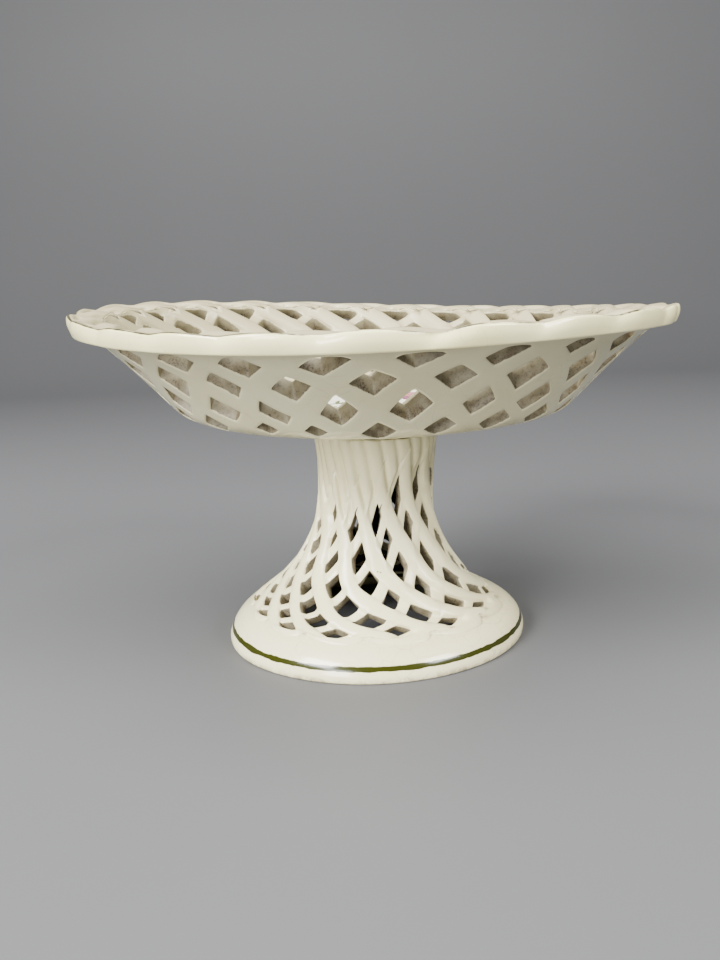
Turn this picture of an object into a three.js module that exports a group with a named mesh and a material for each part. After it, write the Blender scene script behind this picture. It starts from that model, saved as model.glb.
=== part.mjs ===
// A pierced footed stand in cream-coloured earthenware: a dish with a wall of crossing straps under a
// lobed rim band, luted onto a fluted neck that flares into a pierced skirt on a plain foot ring.
// Millimetres, +Z up, standing on z = 0. The firing left it leaning, with the rim a little sprung.
import * as THREE from 'three';

// Clearance between two pieces that meet.
const GAP = 0.3;

// Foot ring
const RING_RADIUS = 63.8;
const RING_HEIGHT = 12.2;
const RING_STANDING_WIDTH = 6;
const RING_EDGE = 0.8;
const RING_FACE = 2.4;
const RING_SHOULDER_RUN = 7;
const RING_SHOULDER_STEPS = 6;

// Pedestal: fluted neck and pierced skirt. Its flare is a wide sweep and a short one at the very edge.
const PEDESTAL_HEIGHT = 84;
const PEDESTAL_WALL = 5;
const SKIRT_RADIUS = 55.2;
const WAIST_RADIUS = 23.7;
const WAIST_HEIGHT = 64;
const SWEEP_POWER = 2.25;
const EDGE_SHARE = 0.1;
const EDGE_POWER = 12;
const NECK_FLARE = 1.5;
const NECK_PLAIN_LENGTH = 6;
const NECK_STEPS = 3;
const FLUTE_STEPS = 4;

// Straps of the pedestal. A sweep is one strap's course: its place from the bottom to the top of the
// pedestal as a share of the height, and its turn there in degrees.
const PEDESTAL_STRAPS = 16;
const PEDESTAL_ROWS = 6;
const BROAD_SWEEP = [[0.02, -49], [0.105, -65.5], [0.245, -84], [0.44, -95], [0.69, -110], [1, -118]];
const THIN_SWEEP = [[0.02, -180], [0.105, -152], [0.245, -132.5], [0.44, -107], [0.69, -83], [1, -45]];
const BROAD_HOLE_SHARE = 0.47;
const THIN_HOLE_SHARE = 0.62;
const STRAP_RELIEF = 0.9;
const STRAP_EDGE_DROP = 0.5;
const BROAD_DRIFT = 15;
const BROAD_DRIFT_TOWARD = 25;
const THIN_DRIFT = 4.3;
const THIN_DRIFT_TOWARD = 123;
const THIN_DRIFT_GROWTH = 8.9;
const PIERCED_SHARE = 0.67;
const PIERCED_TILT = 0.09;
const PIERCED_TOWARD = -45;
const NET_MARGIN = 0.6;

// Slip joint between neck and dish
const SLIP_THICKNESS = 1.2;
const SLIP_PROUD = 0.9;
const SLIP_EDGE = 0.3;

// Dish
const DISH_DEPTH = 51.5;
const DISH_WALL = 5.5;
const SEAT_RADIUS = 27;
const FLOOR_THICKNESS = 8.6;
const UNDERSIDE_RUN = 35;
const HEEL_RADIUS = 78.6;
const HEEL_RISE = 11.8;
const HEEL_BEND = 5;
const WALL_HOLLOW = 0.5;
const DISH_OFFSET = -1.1;

// Straps of the dish wall: how far each row of holes lies below the band, along the wall
const DISH_COLUMNS = 24;
const DISH_ROWS = [5.2, 16.7, 31.6, 42.4];
const DISH_PHASE = 9.75;
const DISH_HOLE_SHARE = 0.585;
const ROW_STRIP = 1.8;
const INSIDE_RELIEF = 0.8;

// Rim band
const RIM_RADIUS = 120;
const BAND_DEPTH = 7;
const BAND_WIDTH = 9;
const BAND_BATTER = 1.5;
const BAND_LIP = 1.3;
const BAND_LIP_DROP = 0.5;
const LOBES = 24;
const LOBE_STEPS = 7;
const LOBE_PHASE = 10.2;
const LOBE_CUSP = 2;
const LOBE_SCALLOP = 1.7;
const LOBE_PEAK = 0.24;
const LOBE_TWIST = 0.35;

// How much of a lobe's inset and drop shows on the band's lip, face, foot and inner slope
const LIP_INSET = 0.6;
const FACE_INSET = 0.8;
const FACE_DROP = 0.5;
const FOOT_INSET = 0.4;
const SLOPE_INSET = 0.2;
const SLOPE_DROP = 0.4;
const SLOPE_PLACE = [0.4, 0.35];

// Firing: lean of everything above the foot ring, and the sprung rim of the dish
const LEAN = 2.3;
const LEAN_TOWARD = -25.5;
const LEAN_START = 5;
const LEAN_LENGTH = 15;
const SADDLE = 2.5;
const SADDLE_TOWARD = -28;
const SADDLE_START = 50;

// Fineness of the plain turned surfaces
const RING_FACETS = 64;
const SLIP_FACETS = 48;
const RIM_FACETS = 96;

const FULL_TURN = 360;
const SOLVE_STEPS = 30;
const PEDESTAL_BOTTOM = RING_HEIGHT + GAP;
const PEDESTAL_LENGTH = PEDESTAL_HEIGHT - PEDESTAL_BOTTOM;
const SLIP_BOTTOM = PEDESTAL_HEIGHT + GAP;
const SLIP_TOP = SLIP_BOTTOM + SLIP_THICKNESS;
const DISH_BOTTOM = SLIP_TOP + GAP;
const RIM_HEIGHT = DISH_BOTTOM + DISH_DEPTH;

const { degToRad, clamp, lerp, smoothstep, euclideanModulo } = THREE.MathUtils;
const cosine = (degrees) => Math.cos(degToRad(degrees));
const sine = (degrees) => Math.sin(degToRad(degrees));

// Where the firing moved a point of the true shape.
function settle(x, y, z) {
  const pull = Math.tan(degToRad(LEAN));
  const leanX = pull * cosine(LEAN_TOWARD);
  const leanY = pull * sine(LEAN_TOWARD);
  const turned = smoothstep(z, LEAN_START, LEAN_START + LEAN_LENGTH);
  return new THREE.Vector3(x + leanX * z, y + leanY * z, z - turned * (leanX * x + leanY * y));
}

function footPoint(radius, degrees, height) {
  return settle(radius * cosine(degrees), radius * sine(degrees), height);
}

// The dish sits a little off the axis, and its rim is sprung into a shallow saddle.
function dishPoint(radius, degrees, height) {
  const share = clamp((radius - SADDLE_START) / (RIM_RADIUS - SADDLE_START), 0, 1);
  const rise = SADDLE * share * cosine(2 * (degrees - SADDLE_TOWARD));
  return settle(radius * cosine(degrees) + DISH_OFFSET, radius * sine(degrees), height + rise);
}

// A smooth curve through hand-set points, straight on beyond the first and the last of them.
function curveThrough(points) {
  const last = points.length - 1;
  const slopes = points.map((point, i) => {
    const before = points[Math.max(i - 1, 0)];
    const after = points[Math.min(i + 1, last)];
    return (after[1] - before[1]) / (after[0] - before[0]);
  });
  return (x) => {
    if (x <= points[0][0]) return points[0][1] + slopes[0] * (x - points[0][0]);
    if (x >= points[last][0]) return points[last][1] + slopes[last] * (x - points[last][0]);
    const i = points.findIndex((point, k) => x <= points[k + 1][0]);
    const width = points[i + 1][0] - points[i][0];
    const rise = points[i + 1][1] - points[i][1];
    const t = (x - points[i][0]) / width;
    const bend = (slopes[i] * width - rise) * (1 - t) - (slopes[i + 1] * width - rise) * t;
    return points[i][1] + rise * t + bend * t * (1 - t);
  };
}

// Vertices and faces of one closed body. A loop is a list of vertices whose angles rise all the way
// round. Strips join loops in one order: down the outside, then up the inside.
class Skin {
  constructor() {
    this.points = [];
    this.faces = [];
  }

  add(point, degrees = 0) {
    this.points.push(point);
    return { id: this.points.length - 1, degrees };
  }

  loop(facets, at) {
    return Array.from({ length: facets }, (_, i) => {
      const degrees = (FULL_TURN * i) / facets;
      return this.add(at(degrees), degrees);
    });
  }

  quad(a, b, c, d) {
    this.faces.push([a.id, b.id, c.id], [a.id, c.id, d.id]);
  }

  // Two loops may differ in number: the strip steps along whichever comes next by angle.
  strip(from, to) {
    const first = from[0].degrees;
    const angleAt = (loop, i) => {
      const rounds = Math.floor(i / loop.length);
      return loop[i - rounds * loop.length].degrees + FULL_TURN * rounds;
    };
    const halfTurn = FULL_TURN / 2;
    const apart = ({ degrees }) => Math.abs(euclideanModulo(degrees - first + halfTurn, FULL_TURN) - halfTurn);
    const start = to.reduce((best, vertex, i) => (apart(vertex) < apart(to[best]) ? i : best), 0);
    const turns = Math.round((to[start].degrees - first) / FULL_TURN) * FULL_TURN;
    let i = 0;
    let j = 0;
    while (i < from.length || j < to.length) {
      const nextFrom = i < from.length ? angleAt(from, i + 1) : Infinity;
      const nextTo = j < to.length ? angleAt(to, start + j + 1) - turns : Infinity;
      const a = from[i % from.length];
      const b = to[(start + j) % to.length];
      const c = nextTo <= nextFrom ? to[(start + j + 1) % to.length] : from[(i + 1) % from.length];
      if (nextTo <= nextFrom) j += 1; else i += 1;
      this.faces.push([a.id, b.id, c.id]);
    }
  }

  strips(loops) {
    loops.slice(1).forEach((loop, i) => this.strip(loops[i], loop));
  }

  closeUnder(loop, point) {
    const centre = this.add(point);
    loop.forEach((vertex, i) => this.faces.push([vertex.id, centre.id, loop[(i + 1) % loop.length].id]));
  }

  closeOver(loop, point) {
    const centre = this.add(point);
    loop.forEach((vertex, i) => this.faces.push([centre.id, vertex.id, loop[(i + 1) % loop.length].id]));
  }

  geometry() {
    const geometry = new THREE.BufferGeometry();
    const numbers = this.points.flatMap((point) => point.toArray());
    geometry.setAttribute('position', new THREE.Float32BufferAttribute(numbers, 3));
    geometry.setIndex(this.faces.flat());
    geometry.computeVertexNormals();
    return geometry;
  }
}

// Strapwork between an outer and an inner face. u counts the straps of one family and grows to the
// upper right, v counts the other and grows to the lower right; holes sit at whole numbers of both,
// and adding the count to both leads round to the same place.
class Strapwork {
  constructor(skin, count, shares, outside, inside) {
    Object.assign(this, { skin, count, shares, outside, inside });
    this.corners = new Map();
    this.free = new Map();
  }

  pair(u, v, inHole) {
    return [this.outside, this.inside].map((face) => {
      const { point, degrees } = face(u, v, inHole);
      return this.skin.add(point, degrees);
    });
  }

  corner(u, v) {
    const turns = Math.floor(u / this.count) * this.count;
    const key = `${u - turns} ${v - turns}`;
    if (!this.corners.has(key)) this.corners.set(key, this.pair(u - turns, v - turns, false));
    return this.corners.get(key);
  }

  // One mesh of the net: its sides lie along the middles of four straps, and its hole is drawn in.
  cell(column, row) {
    const places = [[-1, -1], [-1, 0], [-1, 1], [0, 1], [1, 1], [1, 0], [1, -1], [0, -1]];
    const sides = places.map(([u, v]) => this.corner(column + u / 2, row + v / 2));
    const hole = places.map(([u, v]) => (
      this.pair(column + (u * this.shares[0]) / 2, row + (v * this.shares[1]) / 2, true)));
    sides.forEach((side, i) => {
      const k = (i + 1) % sides.length;
      const next = sides[k];
      this.skin.quad(side[0], next[0], hole[k][0], hole[i][0]);
      this.skin.quad(hole[i][1], hole[k][1], next[1], side[1]);
      this.skin.quad(hole[i][0], hole[k][0], hole[k][1], hole[i][1]);
      if (!this.free.delete(`${next[0].id} ${side[0].id}`)) {
        this.free.set(`${side[0].id} ${next[0].id}`, [side, next]);
      }
    });
  }

  // The edges that no two cells share, as the loop above the net and the loop below it.
  borders() {
    const next = new Map(this.free.values());
    const loops = [];
    while (next.size > 0) {
      const loop = [];
      let at = next.keys().next().value;
      while (next.has(at)) {
        loop.push(at);
        const to = next.get(at);
        next.delete(at);
        at = to;
      }
      loops.push(loop);
    }
    const height = ([outer]) => this.skin.points[outer.id].z;
    const middle = (loop) => loop.reduce((sum, pair) => sum + height(pair), 0) / loop.length;
    const [above, below] = loops.sort((a, b) => middle(b) - middle(a));
    return { above: this.inOrder(above.reverse()), below: this.inOrder(below) };
  }

  inOrder(loop) {
    return [0, 1].map((side) => {
      let before = loop[0][side].degrees;
      return loop.map((pair) => {
        const { id, degrees } = pair[side];
        before = degrees - Math.round((degrees - before) / FULL_TURN) * FULL_TURN;
        return { id, degrees: before };
      });
    });
  }
}

// A ring swept round one closed section; the section runs down the outside and up the inside.
function sweptRing(facets, section) {
  const skin = new Skin();
  const loops = section.map((at) => skin.loop(facets, at));
  skin.strips([...loops, loops[0]]);
  return skin.geometry();
}

function skirtRadius(height) {
  const share = (height - PEDESTAL_BOTTOM) / (WAIST_HEIGHT - PEDESTAL_BOTTOM);
  const left = Math.max(1 - share, 0);
  const flare = (1 - EDGE_SHARE) * left ** SWEEP_POWER + EDGE_SHARE * left ** EDGE_POWER;
  const above = clamp((height - WAIST_HEIGHT) / (PEDESTAL_HEIGHT - WAIST_HEIGHT), 0, 1);
  return WAIST_RADIUS + (SKIRT_RADIUS - WAIST_RADIUS) * flare + NECK_FLARE * above ** 2;
}

// Direction down the skirt at a height, as [outward, upward], and the way into its wall.
function skirtFrame(height) {
  const step = GAP / 2;
  const wider = skirtRadius(height - step) - skirtRadius(height + step);
  const down = new THREE.Vector2(wider, -2 * step).normalize();
  return { down, inward: new THREE.Vector2(down.y, -down.x) };
}

function skirtInside(height) {
  const { inward } = skirtFrame(height);
  return new THREE.Vector2(skirtRadius(height), height).addScaledVector(inward, PEDESTAL_WALL);
}

const PEDESTAL_PITCH = FULL_TURN / PEDESTAL_STRAPS;
const broadTurn = curveThrough(BROAD_SWEEP);
const thinTurn = curveThrough(THIN_SWEEP);
const heightShare = (height) => (height - PEDESTAL_BOTTOM) / PEDESTAL_LENGTH;

function broadAngle(u, height) {
  const even = broadTurn(heightShare(height)) + PEDESTAL_PITCH * u;
  let degrees = even;
  for (let i = 0; i < SOLVE_STEPS; i += 1) {
    degrees = even + BROAD_DRIFT * cosine(degrees - BROAD_DRIFT_TOWARD);
  }
  return degrees;
}

function thinNumber(degrees, height) {
  const growth = 1 + THIN_DRIFT_GROWTH * heightShare(height);
  const drift = THIN_DRIFT * growth * cosine(degrees - THIN_DRIFT_TOWARD);
  return (degrees - thinTurn(heightShare(height)) - drift) / PEDESTAL_PITCH;
}

// Where strap number u of the broad family crosses number v of the thin one.
function crossing(u, v) {
  let low = PEDESTAL_BOTTOM + NET_MARGIN;
  let high = PEDESTAL_HEIGHT;
  for (let i = 0; i < SOLVE_STEPS; i += 1) {
    const middle = (low + high) / 2;
    if (thinNumber(broadAngle(u, middle), middle) > v) low = middle; else high = middle;
  }
  return { degrees: broadAngle(u, low), height: low };
}

function strapRelief(u, inHole) {
  const hump = -Math.cos(2 * Math.PI * u);
  return STRAP_RELIEF * hump - (inHole ? STRAP_EDGE_DROP : 0);
}

function isPierced(u, v) {
  const { degrees, height } = crossing(u, v);
  return heightShare(height) < PIERCED_SHARE + PIERCED_TILT * cosine(degrees - PIERCED_TOWARD);
}

function pedestal() {
  const skin = new Skin();
  const outside = (u, v, inHole) => {
    const { degrees, height } = crossing(u, v);
    return { point: footPoint(skirtRadius(height) + strapRelief(u, inHole), degrees, height), degrees };
  };
  const inside = (u, v) => {
    const { degrees, height } = crossing(u, v);
    const { x, y } = skirtInside(height);
    return { point: footPoint(x, degrees, y), degrees };
  };
  const net = new Strapwork(skin, PEDESTAL_STRAPS, [BROAD_HOLE_SHARE, THIN_HOLE_SHARE], outside, inside);
  const columns = Array.from({ length: PEDESTAL_STRAPS }, (_, column) => column);

  // The lower rows go all round. Higher up a hole is cut where both the holes under it are.
  let netTop = 0;
  let open = columns;
  for (let row = PEDESTAL_ROWS - 1; open.length > 0; row -= 1) {
    const under = new Set(open);
    const carried = (column) => under.has(column) && under.has((column || PEDESTAL_STRAPS) - 1);
    open = columns.filter((column) => row >= 0 || (carried(column) && isPierced(column, column + row)));
    open.forEach((column) => {
      net.cell(column, column + row);
      netTop = Math.max(netTop, crossing(column + 1 / 2, column + row - 1 / 2).height);
    });
  }
  const { above, below } = net.borders();

  // The neck carries the broad straps on as flutes that fade out under the joint.
  const neck = Array.from({ length: NECK_STEPS + 1 }, (_, i) => {
    const height = lerp(PEDESTAL_HEIGHT, netTop + NET_MARGIN, i / NECK_STEPS);
    const fade = clamp((PEDESTAL_HEIGHT - height) / NECK_PLAIN_LENGTH, 0, 1);
    const radius = skirtRadius(height);
    const places = Array.from({ length: PEDESTAL_STRAPS * FLUTE_STEPS }, (place, k) => k / FLUTE_STEPS);
    const loop = (radiusAt) => places.map((u) => {
      const degrees = broadAngle(u, height);
      return skin.add(footPoint(radiusAt(u), degrees, height), degrees);
    });
    return [loop((u) => radius + fade * strapRelief(u, false)), loop(() => radius - PEDESTAL_WALL)];
  });
  const neckOutside = neck.map(([outer]) => outer);
  const neckInside = neck.map(([, inner]) => inner).reverse();
  skin.strips([...neckOutside, above[0]]);
  skin.strips([above[1], ...neckInside, neckOutside[0]]);

  const edge = skirtInside(PEDESTAL_BOTTOM);
  const outerEdge = skin.loop(RING_FACETS, (degrees) => footPoint(SKIRT_RADIUS, degrees, PEDESTAL_BOTTOM));
  const innerEdge = skin.loop(RING_FACETS, (degrees) => footPoint(edge.x, degrees, edge.y));
  skin.strips([below[0], outerEdge, innerEdge, below[1]]);
  return skin.geometry();
}

function footRing() {
  const { down } = skirtFrame(RING_HEIGHT);
  const top = new THREE.Vector2(skirtRadius(RING_HEIGHT), RING_HEIGHT);
  const bend = top.clone().addScaledVector(down, RING_SHOULDER_RUN);
  const shoulder = new THREE.QuadraticBezierCurve(top, bend, new THREE.Vector2(RING_RADIUS, RING_FACE));
  const section = [
    ...shoulder.getPoints(RING_SHOULDER_STEPS),
    new THREE.Vector2(RING_RADIUS, RING_EDGE),
    new THREE.Vector2(RING_RADIUS - RING_EDGE, 0),
    new THREE.Vector2(RING_RADIUS - RING_STANDING_WIDTH, 0),
    skirtInside(RING_HEIGHT),
  ];
  return sweptRing(RING_FACETS, section.map(({ x, y }) => (degrees) => footPoint(x, degrees, y)));
}

function slipJoint() {
  const outer = skirtRadius(PEDESTAL_HEIGHT) + SLIP_PROUD;
  const inner = skirtRadius(PEDESTAL_HEIGHT) - PEDESTAL_WALL;
  const section = [
    [outer - SLIP_EDGE, SLIP_TOP], [outer, SLIP_TOP - SLIP_EDGE], [outer, SLIP_BOTTOM + SLIP_EDGE],
    [outer - SLIP_EDGE, SLIP_BOTTOM], [inner, SLIP_BOTTOM], [inner, SLIP_TOP],
  ];
  return sweptRing(SLIP_FACETS, section.map(([x, y]) => (degrees) => footPoint(x, degrees, y)));
}

// Outer line of the dish from the band down the wall, round the heel and along the underside, by
// distance; a point into the wall is that far from it.
function dishLine() {
  const top = new THREE.Vector2(RIM_RADIUS - BAND_WIDTH, RIM_HEIGHT - BAND_DEPTH - GAP);
  const heel = new THREE.Vector2(HEEL_RADIUS, DISH_BOTTOM + HEEL_RISE);
  const seat = new THREE.Vector2(SEAT_RADIUS, DISH_BOTTOM);
  const up = top.clone().sub(heel).normalize();
  const along = heel.clone().sub(seat).normalize();
  const aboveHeel = heel.clone().addScaledVector(up, HEEL_BEND);
  const belowHeel = heel.clone().addScaledVector(along, -HEEL_BEND);
  const sag = new THREE.Vector2(-up.y, up.x).multiplyScalar(WALL_HOLLOW * 2);
  const line = new THREE.CurvePath();
  line.add(new THREE.QuadraticBezierCurve(top, top.clone().lerp(aboveHeel, 0.5).add(sag), aboveHeel));
  line.add(new THREE.QuadraticBezierCurve(aboveHeel, heel, belowHeel));
  line.add(new THREE.LineCurve(belowHeel, seat));
  const length = line.getLength();
  const at = (distance, into = 0) => {
    const share = clamp(distance / length, 0, 1);
    const onward = line.getTangent(share);
    const beyond = distance - share * length;
    const inward = new THREE.Vector2(onward.y, -onward.x);
    return line.getPoint(share).addScaledVector(onward, beyond).addScaledVector(inward, into);
  };
  return { at, along, length };
}

const DISH_LINE = dishLine();
const DISH_PITCH = FULL_TURN / DISH_COLUMNS;
const rowDistance = curveThrough(DISH_ROWS.map((distance, i) => [i, distance]));

function dish() {
  const skin = new Skin();
  const place = (u, v, inHole) => {
    const distance = Math.max(rowDistance(v - u), inHole ? ROW_STRIP : ROW_STRIP / 2);
    return { degrees: DISH_PHASE + (DISH_PITCH * (u + v)) / 2, distance };
  };
  const outside = (u, v, inHole) => {
    const { degrees, distance } = place(u, v, inHole);
    const { x, y } = DISH_LINE.at(distance);
    return { point: dishPoint(x, degrees, y), degrees };
  };
  const inside = (u, v, inHole) => {
    const { degrees, distance } = place(u, v, inHole);
    const raised = inHole ? 0 : (INSIDE_RELIEF * (1 - Math.cos(2 * Math.PI * v))) / 2;
    const { x, y } = DISH_LINE.at(distance, DISH_WALL + raised);
    return { point: dishPoint(x, degrees, y), degrees };
  };
  const net = new Strapwork(skin, DISH_COLUMNS, [DISH_HOLE_SHARE, DISH_HOLE_SHARE], outside, inside);
  for (let column = 0; column < DISH_COLUMNS; column += 1) {
    DISH_ROWS.forEach((_, row) => net.cell(column, column + row));
  }
  const { above, below } = net.borders();
  const turned = (point) => skin.loop(RIM_FACETS, (degrees) => dishPoint(point.x, degrees, point.y));

  // The flat floor runs out to where it meets the inside of the sloping underside.
  const floorHeight = DISH_BOTTOM + FLOOR_THICKNESS;
  const underFloor = DISH_LINE.at(DISH_LINE.length, DISH_WALL);
  const floorRun = (floorHeight - underFloor.y) / DISH_LINE.along.y;
  const wellEdge = underFloor.clone().addScaledVector(DISH_LINE.along, floorRun);
  const turnAt = DISH_LINE.length - UNDERSIDE_RUN;
  const topEdge = turned(DISH_LINE.at(0));
  const seat = turned(new THREE.Vector2(SEAT_RADIUS, DISH_BOTTOM));
  const well = turned(wellEdge);
  skin.strips([topEdge, above[0]]);
  skin.strips([below[0], turned(DISH_LINE.at(turnAt)), seat]);
  skin.closeUnder(seat, dishPoint(0, 0, DISH_BOTTOM));
  skin.closeOver(well, dishPoint(0, 0, floorHeight));
  skin.strips([well, turned(DISH_LINE.at(turnAt, DISH_WALL)), below[1]]);
  skin.strips([above[1], turned(DISH_LINE.at(0, DISH_WALL)), topEdge]);
  return skin.geometry();
}

// The band's lobes rise steeply beside each cusp and fall off gently, and their creases run aslant
// down the face. A section point says how much of the lobe's inset, drop and slant it takes.
function rimBand() {
  const steps = LOBES * LOBE_STEPS;
  const swell = (i) => {
    const part = (i % LOBE_STEPS) / LOBE_STEPS;
    return part < LOBE_PEAK ? sinTo(part / LOBE_PEAK) : sinTo((1 - part) / (1 - LOBE_PEAK));
  };
  const seatLow = DISH_LINE.at(-GAP);
  const seatHigh = DISH_LINE.at(-GAP, DISH_WALL);
  const ledge = RIM_RADIUS - BAND_BATTER;
  const top = RIM_HEIGHT - BAND_LIP_DROP;
  const middle = RIM_HEIGHT - BAND_DEPTH / 2;
  const bottom = RIM_HEIGHT - BAND_DEPTH;
  const inner = RIM_RADIUS - BAND_LIP;
  const slope = [lerp(seatHigh.x, inner, SLOPE_PLACE[0]), lerp(seatHigh.y, RIM_HEIGHT, SLOPE_PLACE[1])];
  const section = [
    { at: [inner, RIM_HEIGHT], inset: LIP_INSET, drop: 1, slant: 0 },
    { at: [RIM_RADIUS - BAND_LIP_DROP / 2, top], inset: 1, drop: 1, slant: 0 },
    { at: [RIM_RADIUS, middle], inset: FACE_INSET, drop: FACE_DROP, slant: 1 / 2 },
    { at: [ledge, bottom], inset: FOOT_INSET, drop: 0, slant: 1 },
    { at: seatLow.toArray(), inset: 0, drop: 0, slant: 1 },
    { at: seatHigh.toArray(), inset: 0, drop: 0, slant: 0 },
    { at: slope, inset: SLOPE_INSET, drop: SLOPE_DROP, slant: 0 },
  ];
  const skin = new Skin();
  const pitch = FULL_TURN / LOBES;
  const loops = section.map(({ at, inset, drop, slant }) => Array.from({ length: steps }, (_, i) => {
    const degrees = LOBE_PHASE + (pitch * i) / LOBE_STEPS - slant * LOBE_TWIST * pitch;
    const fall = 1 - swell(i);
    const radius = at[0] - inset * fall * LOBE_CUSP;
    return skin.add(dishPoint(radius, degrees, at[1] - drop * fall * LOBE_SCALLOP), degrees);
  }));
  skin.strips([...loops, loops[0]]);
  return skin.geometry();
}

function sinTo(share) {
  return Math.sin((Math.PI / 2) * share);
}

function clay(name, colour, roughness) {
  return new THREE.MeshStandardMaterial({ name, color: colour, roughness });
}

const pieces = [
  ['foot_ring', footRing(), clay('foot_ring_glaze', '#efe4c8', 0.3)],
  ['pierced_pedestal', pedestal(), clay('pedestal_glaze', '#ece0c2', 0.3)],
  ['neck_slip_joint', slipJoint(), clay('slip_glaze', '#d9c9a4', 0.45)],
  ['pierced_dish', dish(), clay('dish_glaze', '#f0e6cd', 0.3)],
  ['lobed_rim_band', rimBand(), clay('rim_glaze', '#f4ebd4', 0.25)],
];

// The stand is centred over the middle of the space it fills.
const bounds = new THREE.Box3();
pieces.forEach(([, geometry]) => {
  geometry.computeBoundingBox();
  bounds.union(geometry.boundingBox);
});
const centre = bounds.getCenter(new THREE.Vector3());

const stand = new THREE.Group();
stand.name = 'pierced_footed_stand';
pieces.forEach(([name, geometry, material]) => {
  const mesh = new THREE.Mesh(geometry.translate(-centre.x, -centre.y, 0), material);
  mesh.name = name;
  stand.add(mesh);
});

export default stand;
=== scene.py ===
"""Visual model of a pierced footed stand in ivory creamware.

The stand is a shallow dish with a lobed rim band, luted on a neck that flares into a pierced skirt
and a turned foot ring. Sizes in the classes are in millimetres and degrees, before the firing moved
the pieces; every mesh is worked out in the row frame, in metres.
"""
import logging
import math
from collections.abc import Callable
from dataclasses import dataclass, field
from enum import Enum

import bmesh
import bpy
import numpy as np
from mathutils import Matrix, Vector

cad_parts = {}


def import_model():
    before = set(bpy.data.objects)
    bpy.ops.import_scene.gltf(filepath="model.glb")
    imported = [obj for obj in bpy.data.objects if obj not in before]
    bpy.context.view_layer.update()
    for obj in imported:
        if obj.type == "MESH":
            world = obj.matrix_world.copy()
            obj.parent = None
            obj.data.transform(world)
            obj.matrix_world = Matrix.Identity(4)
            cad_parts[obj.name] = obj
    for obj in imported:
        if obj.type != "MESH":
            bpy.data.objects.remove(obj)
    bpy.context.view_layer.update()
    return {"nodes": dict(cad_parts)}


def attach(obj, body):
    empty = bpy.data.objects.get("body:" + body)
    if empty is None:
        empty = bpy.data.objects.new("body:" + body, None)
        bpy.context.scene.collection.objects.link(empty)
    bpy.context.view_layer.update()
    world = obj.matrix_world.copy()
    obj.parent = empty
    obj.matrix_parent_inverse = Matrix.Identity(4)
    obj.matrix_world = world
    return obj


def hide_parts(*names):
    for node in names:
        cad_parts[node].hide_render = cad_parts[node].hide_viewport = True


Array = np.ndarray
Colour = tuple[float, float, float]
Socket = bpy.types.NodeSocket
Place = tuple[float, float] | Array
MM = 0.001
FULL_TURN = 360.0
HALF_TURN = 180.0
HALF_RUN = 0.49
SLOPE_STEP = 0.15
ANGLE_ROUNDS = 14
HEIGHT_ROUNDS = 26
KNIFE_ROUNDS = 6
INNER_FACE = 0.97
KEY_GRID = 4000
WELD = 1.5e-6
SLIVER = 1e-6
BODY = "root"
log = logging.getLogger("pierced_stand")


class Piece(Enum):
    """The five luted pieces of the stand, by the name of their node in the frame."""

    FOOT_RING = "foot_ring"
    PEDESTAL = "pierced_pedestal"
    SLIP = "neck_slip_joint"
    DISH = "pierced_dish"
    RIM = "lobed_rim_band"


def cosine(degrees: Array) -> Array:
    """Cosine of an angle in degrees."""
    return np.cos(np.radians(degrees))


def sine(degrees: Array) -> Array:
    """Sine of an angle in degrees."""
    return np.sin(np.radians(degrees))


def blend(first: Array, second: Array, share: Array) -> Array:
    """From the first to the second by a share of the way."""
    return first + (second - first) * share


def shares(count: int) -> Array:
    """The shares 1/n, 2/n to 1 of a way, as a column."""
    return np.linspace(0, 1, count + 1)[1:, None]


def quadratic(t: Array, start: Array, bend: Array, end: Array) -> Array:
    """Quadratic curve (1 - t)^2 start + 2 t (1 - t) bend + t^2 end."""
    return (1 - t) ** 2 * start + 2 * t * (1 - t) * bend + t * t * end


def short_way(degrees: Array, about: float) -> Array:
    """Angle from a direction the short way round, from -180 to 180 degrees."""
    return (degrees - about + HALF_TURN) % FULL_TURN - HALF_TURN


def even_angles(degrees: Array) -> Array:
    """Evenly spaced angles, as many as the given ones and as near them as can be."""
    even = degrees[0] + np.arange(len(degrees)) * FULL_TURN / len(degrees)
    return even + np.mean(degrees - even)


def off_whole(number: Array) -> Array:
    """Distance of numbers to the nearest whole one."""
    return np.abs(number - np.round(number))


def crowned(off: Array, edge: float) -> Array:
    """A strap's crown 1 - s^2, s from 0 at half numbers to 1 at the edge, off whole numbers."""
    return 1 - np.clip((0.5 - off) / (0.5 - edge), 0, 1) ** 2


def heading(degrees: float) -> Array:
    """The direction (cos, sin) of an angle in degrees."""
    return np.array([cosine(degrees), sine(degrees)])


def ease(value: Array, start: float = 0.0, end: float = 1.0) -> Array:
    """Smooth step from 0 at start to 1 at end: t t (3 - 2 t), where t is the share of the way."""
    share = np.clip((value - start) / (end - start), 0.0, 1.0)
    return share * share * (3.0 - 2.0 * share)


def held_above(value: Array, least: Array, soft: float, give: float = 0.1) -> Array:
    """Holds x = (value - least) / soft above 0: least + soft (ln(1 + e^x) - give ln(1 + e^-x))."""
    over = (value - least) / soft
    return least + soft * (np.logaddexp(0.0, over) - give * np.logaddexp(0.0, -over))


def ripple(degrees: Array, height: Array, seed: int, waves: int = 5) -> Array:
    """Slow unevenness of hand work: a sum of sines round the axis and up it, about 1 at most.

    Args:
        degrees: Angles round the axis.
        height: Heights in millimetres, of the same shape.
        seed: Which of the many like patterns.
        waves: How many sines are summed.

    Returns:
        One value per point.
    """
    dice = np.random.default_rng(seed)
    total = np.zeros(np.broadcast(degrees, height).shape)
    for _ in range(waves):
        turns = dice.integers(1, 9)
        slope = dice.uniform(-0.22, 0.22)
        total = total + np.sin(np.radians(turns * degrees + dice.uniform(0, 360)) + slope * height)
    return total / waves


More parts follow.
